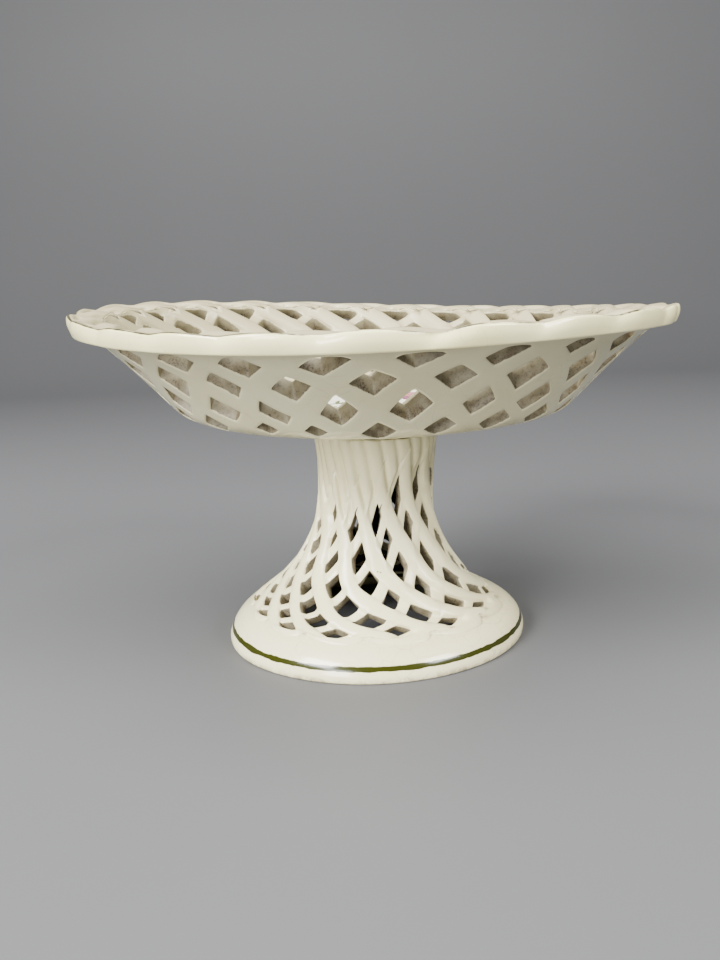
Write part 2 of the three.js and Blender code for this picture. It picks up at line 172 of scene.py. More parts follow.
class SmoothCurve:
    """Curve through given points, straight on beyond the first and the last of them."""

    def __init__(self, points: tuple[tuple[float, float], ...]) -> None:
        """Works out the slope at each point from its two neighbours."""
        self.x, self.y = np.array(points, dtype=float).T
        before = np.maximum(np.arange(len(self.x)) - 1, 0)
        after = np.minimum(np.arange(len(self.x)) + 1, len(self.x) - 1)
        self.slope = (self.y[after] - self.y[before]) / (self.x[after] - self.x[before])

    def __call__(self, x: Array) -> Array:
        """Height of the curve: y0 + rise t + bend t (1 - t) between two points.

        Args:
            x: Where to read the curve.

        Returns:
            The curve's values, of the same shape.
        """
        x = np.asarray(x, dtype=float)
        i = np.clip(np.searchsorted(self.x, x) - 1, 0, len(self.x) - 2)
        width = self.x[i + 1] - self.x[i]
        rise = self.y[i + 1] - self.y[i]
        t = (x - self.x[i]) / width
        bend = (self.slope[i] * width - rise) * (1 - t) - (self.slope[i + 1] * width - rise) * t
        within = self.y[i] + rise * t + bend * t * (1 - t)
        before = self.y[0] + self.slope[0] * (x - self.x[0])
        after = self.y[-1] + self.slope[-1] * (x - self.x[-1])
        return np.where(x < self.x[0], before, np.where(x > self.x[-1], after, within))


def rounded_line(corners: Array, radii: tuple[float, ...], steps: int = 4) -> Array:
    """A line of straight runs whose corners are turned by quadratic curves.

    Each corner c gets the points (1-t)^2 a + 2 t (1-t) c + t^2 b, with a and b the places on the
    runs beside it at the corner's radius, or half the run where that is shorter.

    Args:
        corners: One row of numbers per corner; the first two are the place, the rest go along.
        radii: One radius per corner, in the unit of the places; 0 keeps the corner.
        steps: Parts of each turned corner.

    Returns:
        Rows of the same numbers along the rounded line.
    """
    rows = [corners[:1]]
    t = np.linspace(0.0, 1.0, steps + 1)[:, None]
    for before, corner, after, radius in zip(corners, corners[1:], corners[2:], radii[1:]):
        if radius <= 0:
            rows.append(corner[None])
            continue
        ways = [other - corner for other in (before, after)]
        start, end = (corner + way * min(radius / np.linalg.norm(way[:2]), HALF_RUN) for way in ways)
        rows.append(quadratic(t, start, corner, end))
    rows.append(corners[-1:])
    return np.concatenate(rows)


def densed(line: Array, spacing: float) -> Array:
    """The same line with further rows, so that no run is longer than the spacing.

    Args:
        line: Rows of numbers whose first two are the place.
        spacing: Longest run that is left.

    Returns:
        Rows of the same numbers.
    """
    runs = np.linalg.norm(np.diff(line[:, :2], axis=0), axis=1)
    parts = np.maximum(np.ceil(runs / spacing).astype(int), 1)
    shares = [np.arange(n) / n + k for k, n in enumerate(parts)]
    at = np.append(np.concatenate(shares), len(line) - 1.0)
    index = np.arange(len(line), dtype=float)
    return np.stack([np.interp(at, index, column) for column in line.T], axis=1)


@dataclass
class Firing:
    """How the kiln moved the pieces: a lean, a sprung rim, and the row frame's own centre."""

    centre: tuple[float, float] = (0.0, 0.0)
    lean: float = 2.3
    lean_toward: float = -25.5
    lean_start: float = 5.0
    lean_length: float = 15.0
    dish_offset: float = -1.1
    saddle: float = 2.5
    saddle_toward: float = -28.0
    saddle_start: float = 50.0
    rim_radius: float = 120.0

    def settle(self, x: Array, y: Array, z: Array) -> Array:
        """Moves points of the true shape: (x + kx z, y + ky z, z - s (kx x + ky y)), with s eased in.

        Args:
            x: True places to the right, in millimetres.
            y: True places to the back.
            z: True heights.

        Returns:
            Points in the row frame, in metres, with one more axis of three.
        """
        lean_x, lean_y = math.tan(math.radians(self.lean)) * heading(self.lean_toward)
        turned = ease(z, self.lean_start, self.lean_start + self.lean_length)
        drop = turned * (lean_x * x + lean_y * y)
        moved = (x + lean_x * z + self.centre[0], y + lean_y * z + self.centre[1], z - drop)
        return np.stack(np.broadcast_arrays(*moved), axis=-1) * MM

    def foot(self, radius: Array, degrees: Array, height: Array) -> Array:
        """Points of the foot: a circle's (r cos, r sin, h), settled."""
        return self.settle(radius * cosine(degrees), radius * sine(degrees), height)

    def dish(self, radius: Array, degrees: Array, height: Array) -> Array:
        """Points of the dish: as the foot's, moved off the axis and sprung by cos 2 theta at the rim.

        Args:
            radius: Distances from the dish's axis, in millimetres.
            degrees: Angles round it.
            height: True heights.

        Returns:
            Points in the row frame, in metres.
        """
        share = np.clip((radius - self.saddle_start) / (self.rim_radius - self.saddle_start), 0, 1)
        rise = self.saddle * share * cosine(2 * (degrees - self.saddle_toward))
        x = radius * cosine(degrees) + self.dish_offset
        return self.settle(x, radius * sine(degrees), height + rise)


def link_new(name: str, data: bpy.types.ID) -> bpy.types.Object:
    """Makes an object and links it to the scene.

    Args:
        name: The object's name.
        data: What it holds.

    Returns:
        The object.
    """
    obj = bpy.data.objects.new(name, data)
    bpy.context.scene.collection.objects.link(obj)
    return obj


class ClayBody:
    """Gathers points, with named values at each, and the faces between them, into one closed mesh."""

    def __init__(self) -> None:
        """Starts with no points."""
        self.points: list[Array] = []
        self.values: dict[str, list[tuple[int, Array]]] = {}
        self.faces: list[Array] = []
        self.count = 0

    def add(self, points: Array, **values: Array) -> Array:
        """Adds points.

        Args:
            points: Places in metres; the last axis has three numbers.
            values: Named values, each a number or an array that fits the points.

        Returns:
            The numbers of the new points, in the shape of the array without its last axis.
        """
        shape = points.shape[:-1]
        size = int(np.prod(shape))
        self.points.append(points.reshape(-1, 3))
        for name, value in values.items():
            full = np.broadcast_to(value, shape).reshape(-1)
            self.values.setdefault(name, []).append((self.count, full))
        ids = np.arange(self.count, self.count + size).reshape(shape)
        self.count += size
        return ids

    def sheet(self, ids: Array, closed: bool = True) -> None:
        """Joins the rows of a grid of point numbers with faces.

        Args:
            ids: Point numbers, one row per loop.
            closed: True where the last column meets the first.
        """
        if closed:
            ids = np.concatenate([ids, ids[..., :1]], axis=-1)
        a, b = ids[..., :-1, :-1], ids[..., :-1, 1:]
        c, d = ids[..., 1:, 1:], ids[..., 1:, :-1]
        self.faces.append(np.stack([a, b, c, d], axis=-1).reshape(-1, 4))

    def carry(self, border: Array, *rows: Array) -> None:
        """Joins a loop of points with the rows that carry it on."""
        self.sheet(np.concatenate([border[None], *rows]))

    def tube(self, rows: Array) -> None:
        """Joins rows of points, and the last of them with the first."""
        self.sheet(np.concatenate([rows, rows[:1]]))

    def fan(self, loop: Array, centre: Array) -> None:
        """Closes a loop of point numbers with faces that meet at one point."""
        corners = [loop, np.roll(loop, -1), np.full(loop.shape, centre.reshape(-1)[0])]
        self.faces.append(np.stack(corners, axis=-1))

    def build(self, name: str, turn_outward: bool = True) -> bpy.types.Object:
        """Makes the object, with coinciding points merged and the faces turned outward.

        Args:
            name: Name of the object and its mesh.
            turn_outward: False for an open sheet whose faces already point the right way.

        Returns:
            The object, at the origin.
        """
        mesh = bpy.data.meshes.new(name)
        points = np.concatenate(self.points)
        corners = np.concatenate([face.reshape(-1) for face in self.faces])
        sides = np.concatenate([np.full(len(face), face.shape[1]) for face in self.faces])
        mesh.vertices.add(len(points))
        mesh.vertices.foreach_set("co", points.reshape(-1))
        mesh.loops.add(len(corners))
        mesh.loops.foreach_set("vertex_index", corners.astype(np.int32))
        mesh.polygons.add(len(sides))
        starts = np.concatenate([[0], np.cumsum(sides)[:-1]])
        mesh.polygons.foreach_set("loop_start", starts.astype(np.int32))
        mesh.update(calc_edges=True)
        for key, parts in self.values.items():
            full = np.zeros(self.count, dtype=np.float32)
            for start, part in parts:
                full[start:start + len(part)] = part
            mesh.attributes.new(key, "FLOAT", "POINT").data.foreach_set("value", full)
        work = bmesh.new()
        work.from_mesh(mesh)
        bmesh.ops.remove_doubles(work, verts=work.verts, dist=WELD)
        bmesh.ops.dissolve_degenerate(work, edges=work.edges, dist=SLIVER)
        if turn_outward:
            bmesh.ops.recalc_face_normals(work, faces=work.faces)
        for face in work.faces:
            face.smooth = True
        work.to_mesh(mesh)
        work.free()
        return link_new(name, mesh)


@dataclass(frozen=True)
class KnifeWork:
    """Where single holes were cut off their even places, and how wide, in strap numbers.

    Each row of cuts holds a hole's whole numbers a and b, its shift along both and its half widths.
    give calms the solved shifts, own is the nearness from which a hole counts as the measured one,
    and limits bound how much narrower or wider than the nominal it may be.
    """

    count: int
    cuts: tuple = ((0, 0, 0.0, 0.0, 0.25, 0.25),)
    reach: float = 0.6
    give: float = 0.04
    own: float = 0.99
    limits: tuple = (0.6, 1.3)

    def table(self) -> Array:
        """The cuts as an array, one row per hole."""
        return np.array(self.cuts, dtype=float)

    def bells(self, a: Array, b: Array) -> Array:
        """Nearness of points to every hole of the table: exp(-d^2 / (2 reach^2)), the short way round.

        Args:
            a: Over numbers.
            b: Under numbers.

        Returns:
            Nearness from 0 to 1, with one more axis for the holes.
        """
        off_a = np.asarray(a)[..., None] - self.table()[:, 0]
        off_b = np.asarray(b)[..., None] - self.table()[:, 1]
        turns = np.round((off_a + off_b) / (2 * self.count)) * self.count
        return np.exp(-((off_a - turns) ** 2 + (off_b - turns) ** 2) / (2 * self.reach ** 2))

    def nudge(self, a: Array, b: Array) -> tuple[Array, Array]:
        """Shift of the net: a sum of bells round the holes, solved so that each hole meets its own.

        Args:
            a: Over numbers.
            b: Under numbers.

        Returns:
            Shifts along a and b, of the same shape.
        """
        rows = self.table()
        bells = self.bells(rows[:, 0], rows[:, 1]) + self.give * np.eye(len(rows))
        shift = self.bells(a, b) @ np.linalg.solve(bells, rows[:, 2:4])
        return shift[..., 0], shift[..., 1]

    def sizes(self, centres: Array, half_a: float, half_b: float) -> Array:
        """How much wider than the nominal the holes are along a and b; 1 where none was measured.

        Args:
            centres: Middles (a, b) of the holes.
            half_a: Nominal half width along a.
            half_b: Nominal half width along b.

        Returns:
            Two factors per hole.
        """
        near = self.bells(centres[:, 0], centres[:, 1])
        wider = self.table()[np.argmax(near, axis=1), 4:6] / np.array([half_a, half_b])
        measured = near.max(axis=1, keepdims=True) > self.own
        return np.where(measured, np.clip(wider, *self.limits), 1.0)


SKIRT_CUTS = (
    (3, 3, -0.2, -0.13, 0.15, 0.286), (2, 2, -0.05, -0.04, 0.19, 0.327), (1, 1, -0.03, 0.27, 0.242, 0.216),
    (0, 0, 0.09, 0.085, 0.268, 0.233), (-1, -2, 0.36, 0.38, 0.16, 0.21), (3, 4, -0.17, -0.13, 0.17, 0.256),
    (2, 3, -0.116, -0.044, 0.233, 0.245), (1, 2, -0.14, 0.02, 0.262, 0.259),
    (0, 1, -0.107, 0.058, 0.229, 0.293), (-1, -1, 0.092, 0.094, 0.198, 0.2),
    (2, 4, -0.139, -0.014, 0.17, 0.295), (1, 3, -0.091, 0.021, 0.23, 0.293),
    (0, 2, -0.073, 0.156, 0.246, 0.301), (-1, 1, -0.033, 0.004, 0.243, 0.313),
    (-1, 0, 0.003, -0.062, 0.201, 0.216), (1, 4, -0.002, 0.034, 0.205, 0.276),
    (1, 6, 0.1, 0.5, 0.17, 0.33), (2, 5, -0.16, 0.37, 0.235, 0.31), (2, 6, -0.25, 0.4, 0.235, 0.36),
    (2, 7, -0.1, 0.6, 0.21, 0.34), (0, 3, 0.031, 0.113, 0.262, 0.24), (-1, 2, -0.11, 0.019, 0.27, 0.32),
    (-2, 1, -0.109, -0.037, 0.28, 0.32), (1, 5, -0.062, 0.2, 0.2, 0.3), (0, 4, -0.02, 0.164, 0.25, 0.34),
    (-1, 3, -0.02, 0.069, 0.26, 0.34), (-2, 2, -0.16, 0.016, 0.28, 0.325), (0, 5, 0.059, 0.34, 0.19, 0.3),
    (-1, 4, 0.172, 0.156, 0.2, 0.307))
DISH_CUTS = (
    (-8, -9, 0.01, -0.005, 0.305, 0.225), (-7, -8, -0.06, -0.11, 0.243, 0.27),
    (-6, -7, -0.14, -0.05, 0.278, 0.275), (-5, -6, -0.12, 0.0, 0.27, 0.263),
    (-4, -5, -0.085, -0.02, 0.325, 0.313), (-8, -10, 0.12, 0.03, 0.29, 0.25),
    (-7, -9, 0.025, -0.08, 0.325, 0.213), (-6, -8, -0.065, -0.04, 0.27, 0.335),
    (-5, -7, -0.13, 0.05, 0.283, 0.318), (-4, -6, -0.14, 0.025, 0.248, 0.285),
    (-3, -5, -0.04, 0.02, 0.245, 0.33), (-8, -8, -0.05, -0.205, 0.31, 0.255),
    (-7, -7, -0.095, -0.13, 0.245, 0.34), (-6, -6, -0.14, 0.025, 0.24, 0.295),
    (-5, -5, -0.06, -0.04, 0.2, 0.34), (-4, -4, -0.07, 0.035, 0.19, 0.245),
    (-7, -10, 0.13, 0.3, 0.21, 0.19), (-6, -9, -0.02, 0.085, 0.2, 0.19),
    (-5, -8, 0.04, 0.0, 0.273, 0.278), (-4, -7, -0.1, 0.05, 0.243, 0.278),
    (-3, -6, -0.1, 0.02, 0.248, 0.31))


@dataclass
class Strapwork:
    """A net of two families of straps, worked out in strap numbers.

    a counts the straps that lie over the others and b those under; holes sit at whole numbers of
    both, and the straps run along the halves between. Spokes lead from the hole's outline to the
    middles of the straps, and each loop of points lies at one share of the way along them.
    """

    over_share: float
    under_share: float
    count: int
    end_steps: int = 5
    side_steps: int = 6
    corner: float = 0.016
    bow: float = 0.05
    seed: int = 1
    uneven: float = 0.012
    size_uneven: float = 1.6
    skew_uneven: float = 4.0
    slant: float = 0.02
    taper: float = 0.0
    stretch: float = 0.0
    knife: KnifeWork = KnifeWork(16)

    def outlines(self) -> tuple[Array, Array]:
        """Outline of a hole, and the border of its cell, as matching points (a, b) about the middle.

        The hole's sides bow outward by bow (1 - s^2) of their half width, s being the place along.

        Returns:
            The hole's points and the border's points, in one order round.
        """
        half_a, half_b = self.over_share / 2, self.under_share / 2
        end = np.linspace(-(half_a - self.corner), half_a - self.corner, self.end_steps + 1)
        side = np.linspace(half_b - self.corner, self.corner - half_b, self.side_steps + 3)
        end_b = half_b * (1 + self.bow * (1 - (end / half_a) ** 2))
        side_a = half_a * (1 + self.bow * (1 - (side / half_b) ** 2))
        stub = half_a + self.corner
        rim_b = np.linspace(0.5, -0.5, self.side_steps + 1)
        side_border = np.concatenate([
            [[stub, 0.5]], np.stack([np.full(rim_b.shape, 0.5), rim_b], axis=1), [[stub, -0.5]]])
        top = np.stack([end, end_b], axis=1)
        right = np.stack([side_a, side], axis=1)
        top_border = np.stack([end, np.full(end.shape, 0.5)], axis=1)
        hole = np.concatenate([top, right, -top, -right])
        border = np.concatenate([top_border, side_border, -top_border, -side_border])
        return hole, border

    def cells(self, centres: Array, share: Array, depth: Array) -> tuple[Array, Array]:
        """Strap numbers of every point of the cells round the given holes.

        A point is hole + share (border - hole). Each hole's outline is larger or smaller, moved,
        skewed, and slanted or narrowed with the depth, as a knife leaves it.

        Args:
            centres: Middles (a, b) of the holes, one row each.
            share: Share of the way to the border, as a column with one row per loop.
            depth: Depth of each loop as a share of the wall, as a column.

        Returns:
            a and b, each with axes for cell, loop and place round.
        """
        hole, border = self.outlines()
        dice = np.random.default_rng(self.seed)
        size = (len(centres), 1, 1, 2)
        way, deep = share[..., None], depth[..., None]
        own = self.knife.sizes(centres, self.over_share / 2, self.under_share / 2)[:, None, None, :]
        scale = own * (1 + dice.normal(0, self.uneven * self.size_uneven, size))
        scale = scale * (1 + deep * np.array([-self.taper, self.stretch]))
        shift = dice.normal(0, self.uneven, size)
        slant = dice.normal(0, self.slant, size) * deep
        skew = dice.normal(0, self.uneven * self.skew_uneven, size) * hole[:, ::-1]
        outline = hole * scale + skew + shift + slant
        place = blend(outline, border, way) + centres[:, None, None, :]
        return place[..., 0], place[..., 1]

    def borders(self, a: Array, b: Array, ids: Array) -> tuple[Array, Array]:
        """Gives touching cells the same points along their borders and finds the free edges.

        Args:
            a: Over numbers of the border points, by cell and place round.
            b: Under numbers of the same points.
            ids: Their point numbers.

        Returns:
            The point numbers with shared ones merged, and True where an edge to the next point
            belongs to one cell only.
        """
        turns = np.floor((a + b) / (2 * self.count) + SLIVER) * self.count
        keys = np.round(np.stack([a - turns, b - turns], axis=-1) * KEY_GRID).astype(np.int64)
        _, first, inverse = np.unique(keys.reshape(-1, 2), axis=0, return_index=True, return_inverse=True)
        merged = ids.reshape(-1)[first][inverse.reshape(-1)].reshape(ids.shape)
        onward = np.roll(merged, -1, axis=1)
        big = int(ids.max()) + 1
        free = ~np.isin(merged * big + onward, onward * big + merged)
        return merged, free

    def join(self, body: ClayBody, numbers: tuple[Array, Array], ids: Array, upper: Array,
             **values: Array) -> list[tuple[dict[str, Array], tuple[Array, Array]]]:
        """Joins the cells into one sheet and sorts its two free borders round the axis.

        Args:
            body: The clay that holds the points.
            numbers: Over and under numbers of the points, by cell, loop and place round.
            ids: Their point numbers.
            upper: True for cell border points that belong to the upper border.
            values: Named values of the border points, their angles as "degrees".

        Returns:
            For the upper border, then the lower one: its values, and its point numbers outside and
            inside.
        """
        a, b = numbers
        outer, free = self.borders(a[:, 0], b[:, 0], ids[:, 0])
        inner, _ = self.borders(a[:, -1], b[:, -1], ids[:, -1])
        ids[:, 0], ids[:, -1] = outer, inner
        body.sheet(ids)
        edge = np.unique(np.stack([outer[free], inner[free]], axis=1), axis=0, return_index=True)[1]
        values["degrees"] = np.mod(values["degrees"], FULL_TURN)
        found = []
        for side in (True, False):
            spots = np.flatnonzero(free)[edge]
            spots = spots[upper.reshape(-1)[spots] == side]
            spots = spots[np.argsort(values["degrees"].reshape(-1)[spots])]
            loop = {key: value.reshape(-1)[spots] for key, value in values.items()}
            found.append((loop, (outer.reshape(-1)[spots], inner.reshape(-1)[spots])))
        return found


@dataclass(frozen=True)
class CutProfile:
    """The way from the middle of a strap over its edge, through the wall and back on the inside.

    Sizes are shares: of the way from the hole to the strap's middle, and of the wall.
    """

    outer_round: float = 0.16
    outer_drop: float = 0.09
    inner_round: float = 0.12
    inner_drop: float = 0.06

    def loops(self) -> tuple[Array, Array, Array]:
        """Share of the way, depth and cut mask of each loop, from outside to inside.

        The edges are quarter rounds: share r (1 - sin t), depth d (1 - cos t).

        Returns:
            Three columns with one row per loop.
        """
        turn = np.radians([30.0, 60.0, 90.0])
        outer_share = self.outer_round * (1 - np.sin(turn))
        outer_depth = self.outer_drop * (1 - np.cos(turn))
        inner_share = self.inner_round * (1 - np.sin(turn[::-1]))
        inner_depth = 1 - self.inner_drop * (1 - np.cos(turn[::-1]))
        share = np.concatenate([
            [1.0, 0.72, 0.42, self.outer_round], outer_share, [0.0, 0.0], inner_share,
            [self.inner_round, 0.5, 1.0]])
        depth = np.concatenate([[0.0] * 4, outer_depth, [0.4, 0.75], inner_depth, [1.0] * 3])
        cut = np.array([0.0] * 4 + [0.1, 0.6] + [1.0] * 4 + [0.7, 0.2] + [0.0] * 3)
        return share[:, None], depth[:, None], cut[:, None]


@dataclass
class Pedestal:
    """The thrown neck and skirt: fluted above, pierced between crossing straps below.

    The sweeps give the turn of a strap in degrees by the share of the height, uncut lists holes that
    stay closed, and hold is the softness with which crossings are held above the lip.
    """

    firing: Firing
    bottom: float = 12.5
    height: float = 84.0
    neck_top: float = 87.4
    wall: float = 5.0
    skirt_radius: float = 55.2
    waist_radius: float = 23.7
    waist_height: float = 64.0
    sweep_power: float = 2.25
    edge_share: float = 0.1
    edge_power: float = 12.0
    neck_flare: float = 1.5
    straps: int = 16
    rows: int = 6
    broad_sweep: tuple = ((0.02, -49), (0.105, -65.5), (0.245, -84), (0.44, -95), (0.69, -110), (1, -118))
    thin_sweep: tuple = ((0.02, -180), (0.105, -152), (0.245, -132.5), (0.44, -107), (0.69, -83), (1, -45))
    broad_drift: float = 15.0
    broad_toward: float = 25.0
    thin_drift: float = 4.3
    thin_toward: float = 123.0
    thin_growth: float = 8.9
    pierced_share: float = 0.67
    pierced_tilt: float = 0.09
    pierced_toward: float = -45.0
    uncut: tuple = ((0, -1), (8, 7), (9, 8), (8, 8))
    plateau: float = 0.35
    crown: float = 0.55
    recess: float = -0.75
    thin_crown: float = 0.2
    edge_soft: float = 0.8
    rib_crown: float = 1.5
    flat_rib: float = 0.4
    flute: float = 1.1
    flute_width: float = 0.075
    calm: float = 0.25
    calm_from: float = 66.0
    neck_blend: float = 7.0
    lip_low: float = 12.85
    lip_rise: float = 1.5
    lip_sharp: float = 1.4
    lip_cusp: tuple = (-65.0, 14.25)
    lip_round: float = 0.75
    lip_proud: float = 0.75
    lip_faint: float = 12.0
    lip_faint_width: float = 28.0
    lip_fade: float = 0.85
    lip_pool: float = 0.09
    hole_above_lip: float = 1.1
    border_above_lip: float = 0.45
    lowest: float = 4.0
    hold: float = 0.35
    net: Strapwork = field(default_factory=lambda: Strapwork(
        0.47, 0.62, 16, seed=11, uneven=0.01, knife=KnifeWork(16, SKIRT_CUTS)))
    profile: CutProfile = CutProfile()

    def __post_init__(self) -> None:
        """Sets up the two sweeps of the straps."""
        self.broad_turn = SmoothCurve(self.broad_sweep)
        self.thin_turn = SmoothCurve(self.thin_sweep)
        self.pitch = FULL_TURN / self.straps
        self.lip_phase = float(self.broad_number(*self.lip_cusp)) % 1.0

    def radius_at(self, height: Array) -> Array:
        """Outer radius: waist + (skirt - waist) (0.9 left^2.25 + 0.1 left^12) + flare above^2.

        Args:
            height: True heights in millimetres.

        Returns:
            Radii in millimetres.
        """
        left = np.clip(1 - (height - self.bottom) / (self.waist_height - self.bottom), 0.0, 1.12)
        flare = blend(left ** self.sweep_power, left ** self.edge_power, self.edge_share)
        above = np.clip((height - self.waist_height) / (self.height - self.waist_height), 0, 1)
        return blend(self.waist_radius, self.skirt_radius, flare) + self.neck_flare * above ** 2

    def inward(self, height: Array) -> tuple[Array, Array]:
        """Direction into the wall, square to its outer face.

        Args:
            height: Heights of the outer face.

        Returns:
            Its parts along radius and height.
        """
        wider = self.radius_at(height - SLOPE_STEP) - self.radius_at(height + SLOPE_STEP)
        length = np.hypot(wider, 2 * SLOPE_STEP)
        return -2 * SLOPE_STEP / length, -wider / length

    def wall_point(self, degrees: Array, height: Array, into: Array) -> Array:
        """Points at a depth in the wall, square to its outer face; a negative one stands proud."""
        into_r, into_z = self.inward(height)
        return self.firing.foot(self.radius_at(height) + into_r * into, degrees, height + into_z * into)

    def height_share(self, height: Array) -> Array:
        """Share of the pedestal's height."""
        return (height - self.bottom) / (self.height - self.bottom)

    def broad_angle(self, u: Array, height: Array) -> Array:
        """Where broad strap u stands at a height: d = turn + pitch u + drift cos(d - toward).

        Args:
            u: Strap numbers.
            height: True heights.

        Returns:
            Angles in degrees.
        """
        even = self.broad_turn(self.height_share(height)) + self.pitch * u
        degrees = even
        for _ in range(ANGLE_ROUNDS):
            degrees = even + self.broad_drift * cosine(degrees - self.broad_toward)
        return degrees

    def broad_number(self, degrees: Array, height: Array) -> Array:
        """Number of the broad strap at an angle and height, with its fraction."""
        drift = self.broad_drift * cosine(degrees - self.broad_toward)
        return (degrees - self.broad_turn(self.height_share(height)) - drift) / self.pitch

    def thin_number(self, degrees: Array, height: Array) -> Array:
        """Number of the thin strap at an angle and height, with its fraction.

        Args:
            degrees: Angles round the axis.
            height: True heights.

        Returns:
            Strap numbers.
        """
        share = self.height_share(height)
        drift = self.thin_drift * (1 + self.thin_growth * share) * cosine(degrees - self.thin_toward)
        return (degrees - self.thin_turn(share) - drift) / self.pitch

    def crossing(self, u: Array, v: Array, floor: Array | None = None) -> tuple[Array, Array]:
        """Where broad strap u crosses thin strap v, found by halving the height between two bounds.

        Args:
            u: Broad numbers.
            v: Thin numbers.
            floor: Lowest heights; lower crossings are pressed up to just under them.

        Returns:
            Angles in degrees and heights in millimetres.
        """
        low = np.full(np.broadcast(u, v).shape, self.lowest)
        high = np.full(low.shape, self.height)
        for _ in range(HEIGHT_ROUNDS):
            middle = (low + high) / 2
            under = self.thin_number(self.broad_angle(u, middle), middle) > v
            low, high = np.where(under, middle, low), np.where(under, high, middle)
        if floor is not None:
            low = held_above(low, floor, self.hold)
        return self.broad_angle(u, low), low

    def lip_height(self, u: Array) -> Array:
        """Height of the scalloped lip: low + rise (1 - sin(pi x))^sharp between cusps."""
        fall = 1 - np.sin(np.pi * np.mod(u - self.lip_phase, 1.0))
        return self.lip_low + self.lip_rise * fall ** self.lip_sharp

    def lip_line(self, u: Array) -> tuple[Array, Array]:
        """Angles and heights of the scalloped lip at broad strap numbers u."""
        height = self.lip_height(u)
        return self.broad_angle(u, height), height

    def cusp_bell(self, u: Array, width: float) -> Array:
        """Bell at the lip's cusps: exp(-(d / width)^2), d from the nearest one in strap numbers."""
        return np.exp(-(np.abs((u - self.lip_phase + 0.5) % 1 - 0.5) / width) ** 2)

    def strap_relief(self, u: Array, v: Array) -> Array:
        """How far the straps stand proud: crowned broad ones over recessed thin ones.

        Over a broad strap it is plateau + crown (1 - s^2), s from 0 at its middle to 1 at its edge.
        Between two of them it is recess + thin crown (1 - s^2), s across the thin strap.

        Args:
            u: Broad numbers.
            v: Thin numbers.

        Returns:
            Relief in millimetres.
        """
        off, edge, corner = off_whole(u), self.net.over_share / 2, self.net.corner
        broad = self.plateau + self.crown * crowned(off, edge)
        thin = self.recess + self.thin_crown * crowned(off_whole(v), self.net.under_share / 2)
        return blend(thin, broad, ease(off, edge - corner * self.edge_soft, edge + corner))

    def neck_relief(self, u: Array, height: Array) -> Array:
        """Ribs of the neck: crowned broad ones, a flatter one between each two, and grooves between.

        The broad rib is (1 - s^2) from its middle at half numbers, the flat one a share of that
        from whole numbers, and the grooves cut in by flute exp(-(distance to the edge / width)^2).

        Args:
            u: Broad numbers.
            height: True heights.

        Returns:
            Relief in millimetres, softer towards the joint.
        """
        off = off_whole(u)
        edge = self.net.over_share / 2
        flat = self.flat_rib * (1 - np.clip(off / edge, 0, 1) ** 2)
        ribs = self.crown * self.rib_crown * np.where(off > edge, crowned(off, edge), flat)
        groove = self.flute * np.exp(-((off - edge) / self.flute_width) ** 2)
        return (1 - self.calm * ease(height, self.calm_from, self.height)) * (ribs - groove)

    def relief_at(self, degrees: Array, height: Array) -> Array:
        """Relief of the net at angles and heights, with the knife's nudge taken back.

        Args:
            degrees: Angles round the axis.
            height: True heights.

        Returns:
            Relief in millimetres.
        """
        true_u, true_v = self.broad_number(degrees, height), self.thin_number(degrees, height)
        u, v = true_u, true_v
        for _ in range(KNIFE_ROUNDS):
            shift_u, shift_v = self.net.knife.nudge(u, v)
            u, v = true_u - shift_u, true_v - shift_v
        return self.strap_relief(u, v)

    def open_cells(self) -> Array:
        """Middles (u, v) of the holes: six rows all round, and higher ones where both below are open.

        Returns:
            One row of two whole numbers per hole.
        """
        columns = np.arange(self.straps)
        opened = np.ones(self.straps, dtype=bool)
        found = []
        row = self.rows - 1
        # Rows above the full ones have numbers under 0; the last one found is empty.
        while opened.any():
            if row < 0:
                degrees, height = self.crossing(columns.astype(float), columns + float(row))
                reach = self.pierced_share + self.pierced_tilt * cosine(degrees - self.pierced_toward)
                opened = opened & np.roll(opened, 1) & (self.height_share(height) < reach)
            found.append(np.stack([columns, columns + row], axis=1)[opened])
            row -= 1
        cells = np.concatenate(found[:-1])
        left = ~(cells[:, None, :] == np.array(self.uncut)[None]).all(axis=2).any(axis=1)
        return cells[left].astype(float)

    def build(self) -> bpy.types.Object:
        """Makes the pedestal: the net, then the neck above it and the lip below, inside and out.

        Returns:
            The pedestal's object.
        """
        body = ClayBody()
        share, depth, cut = self.profile.loops()
        centres = self.open_cells()
        u, v = self.net.cells(centres, share, depth)
        shift_u, shift_v = self.net.knife.nudge(u, v)
        floor = self.lip_height(u + shift_u) + blend(self.hole_above_lip, self.border_above_lip, share)
        degrees, height = self.crossing(u + shift_u, v + shift_v, floor)
        relief = self.strap_relief(u, v) * (1 - depth)
        ids = body.add(self.wall_point(degrees, height, self.wall * depth - relief), cut=cut,
                       inside=(depth > INNER_FACE) * 1.0, recess=np.clip(-relief, 0, 1))
        upper, lower = self.net.join(
            body, (u, v), ids, v[:, 0] - u[:, 0] < self.rows - 1.5, degrees=degrees[:, 0],
            height=height[:, 0], relief=relief[:, 0])
        self.neck(body, *upper)
        self.lip(body, *lower)
        log.info("pedestal: %d holes cut", len(centres))
        return body.build("pierced_pedestal_fired")

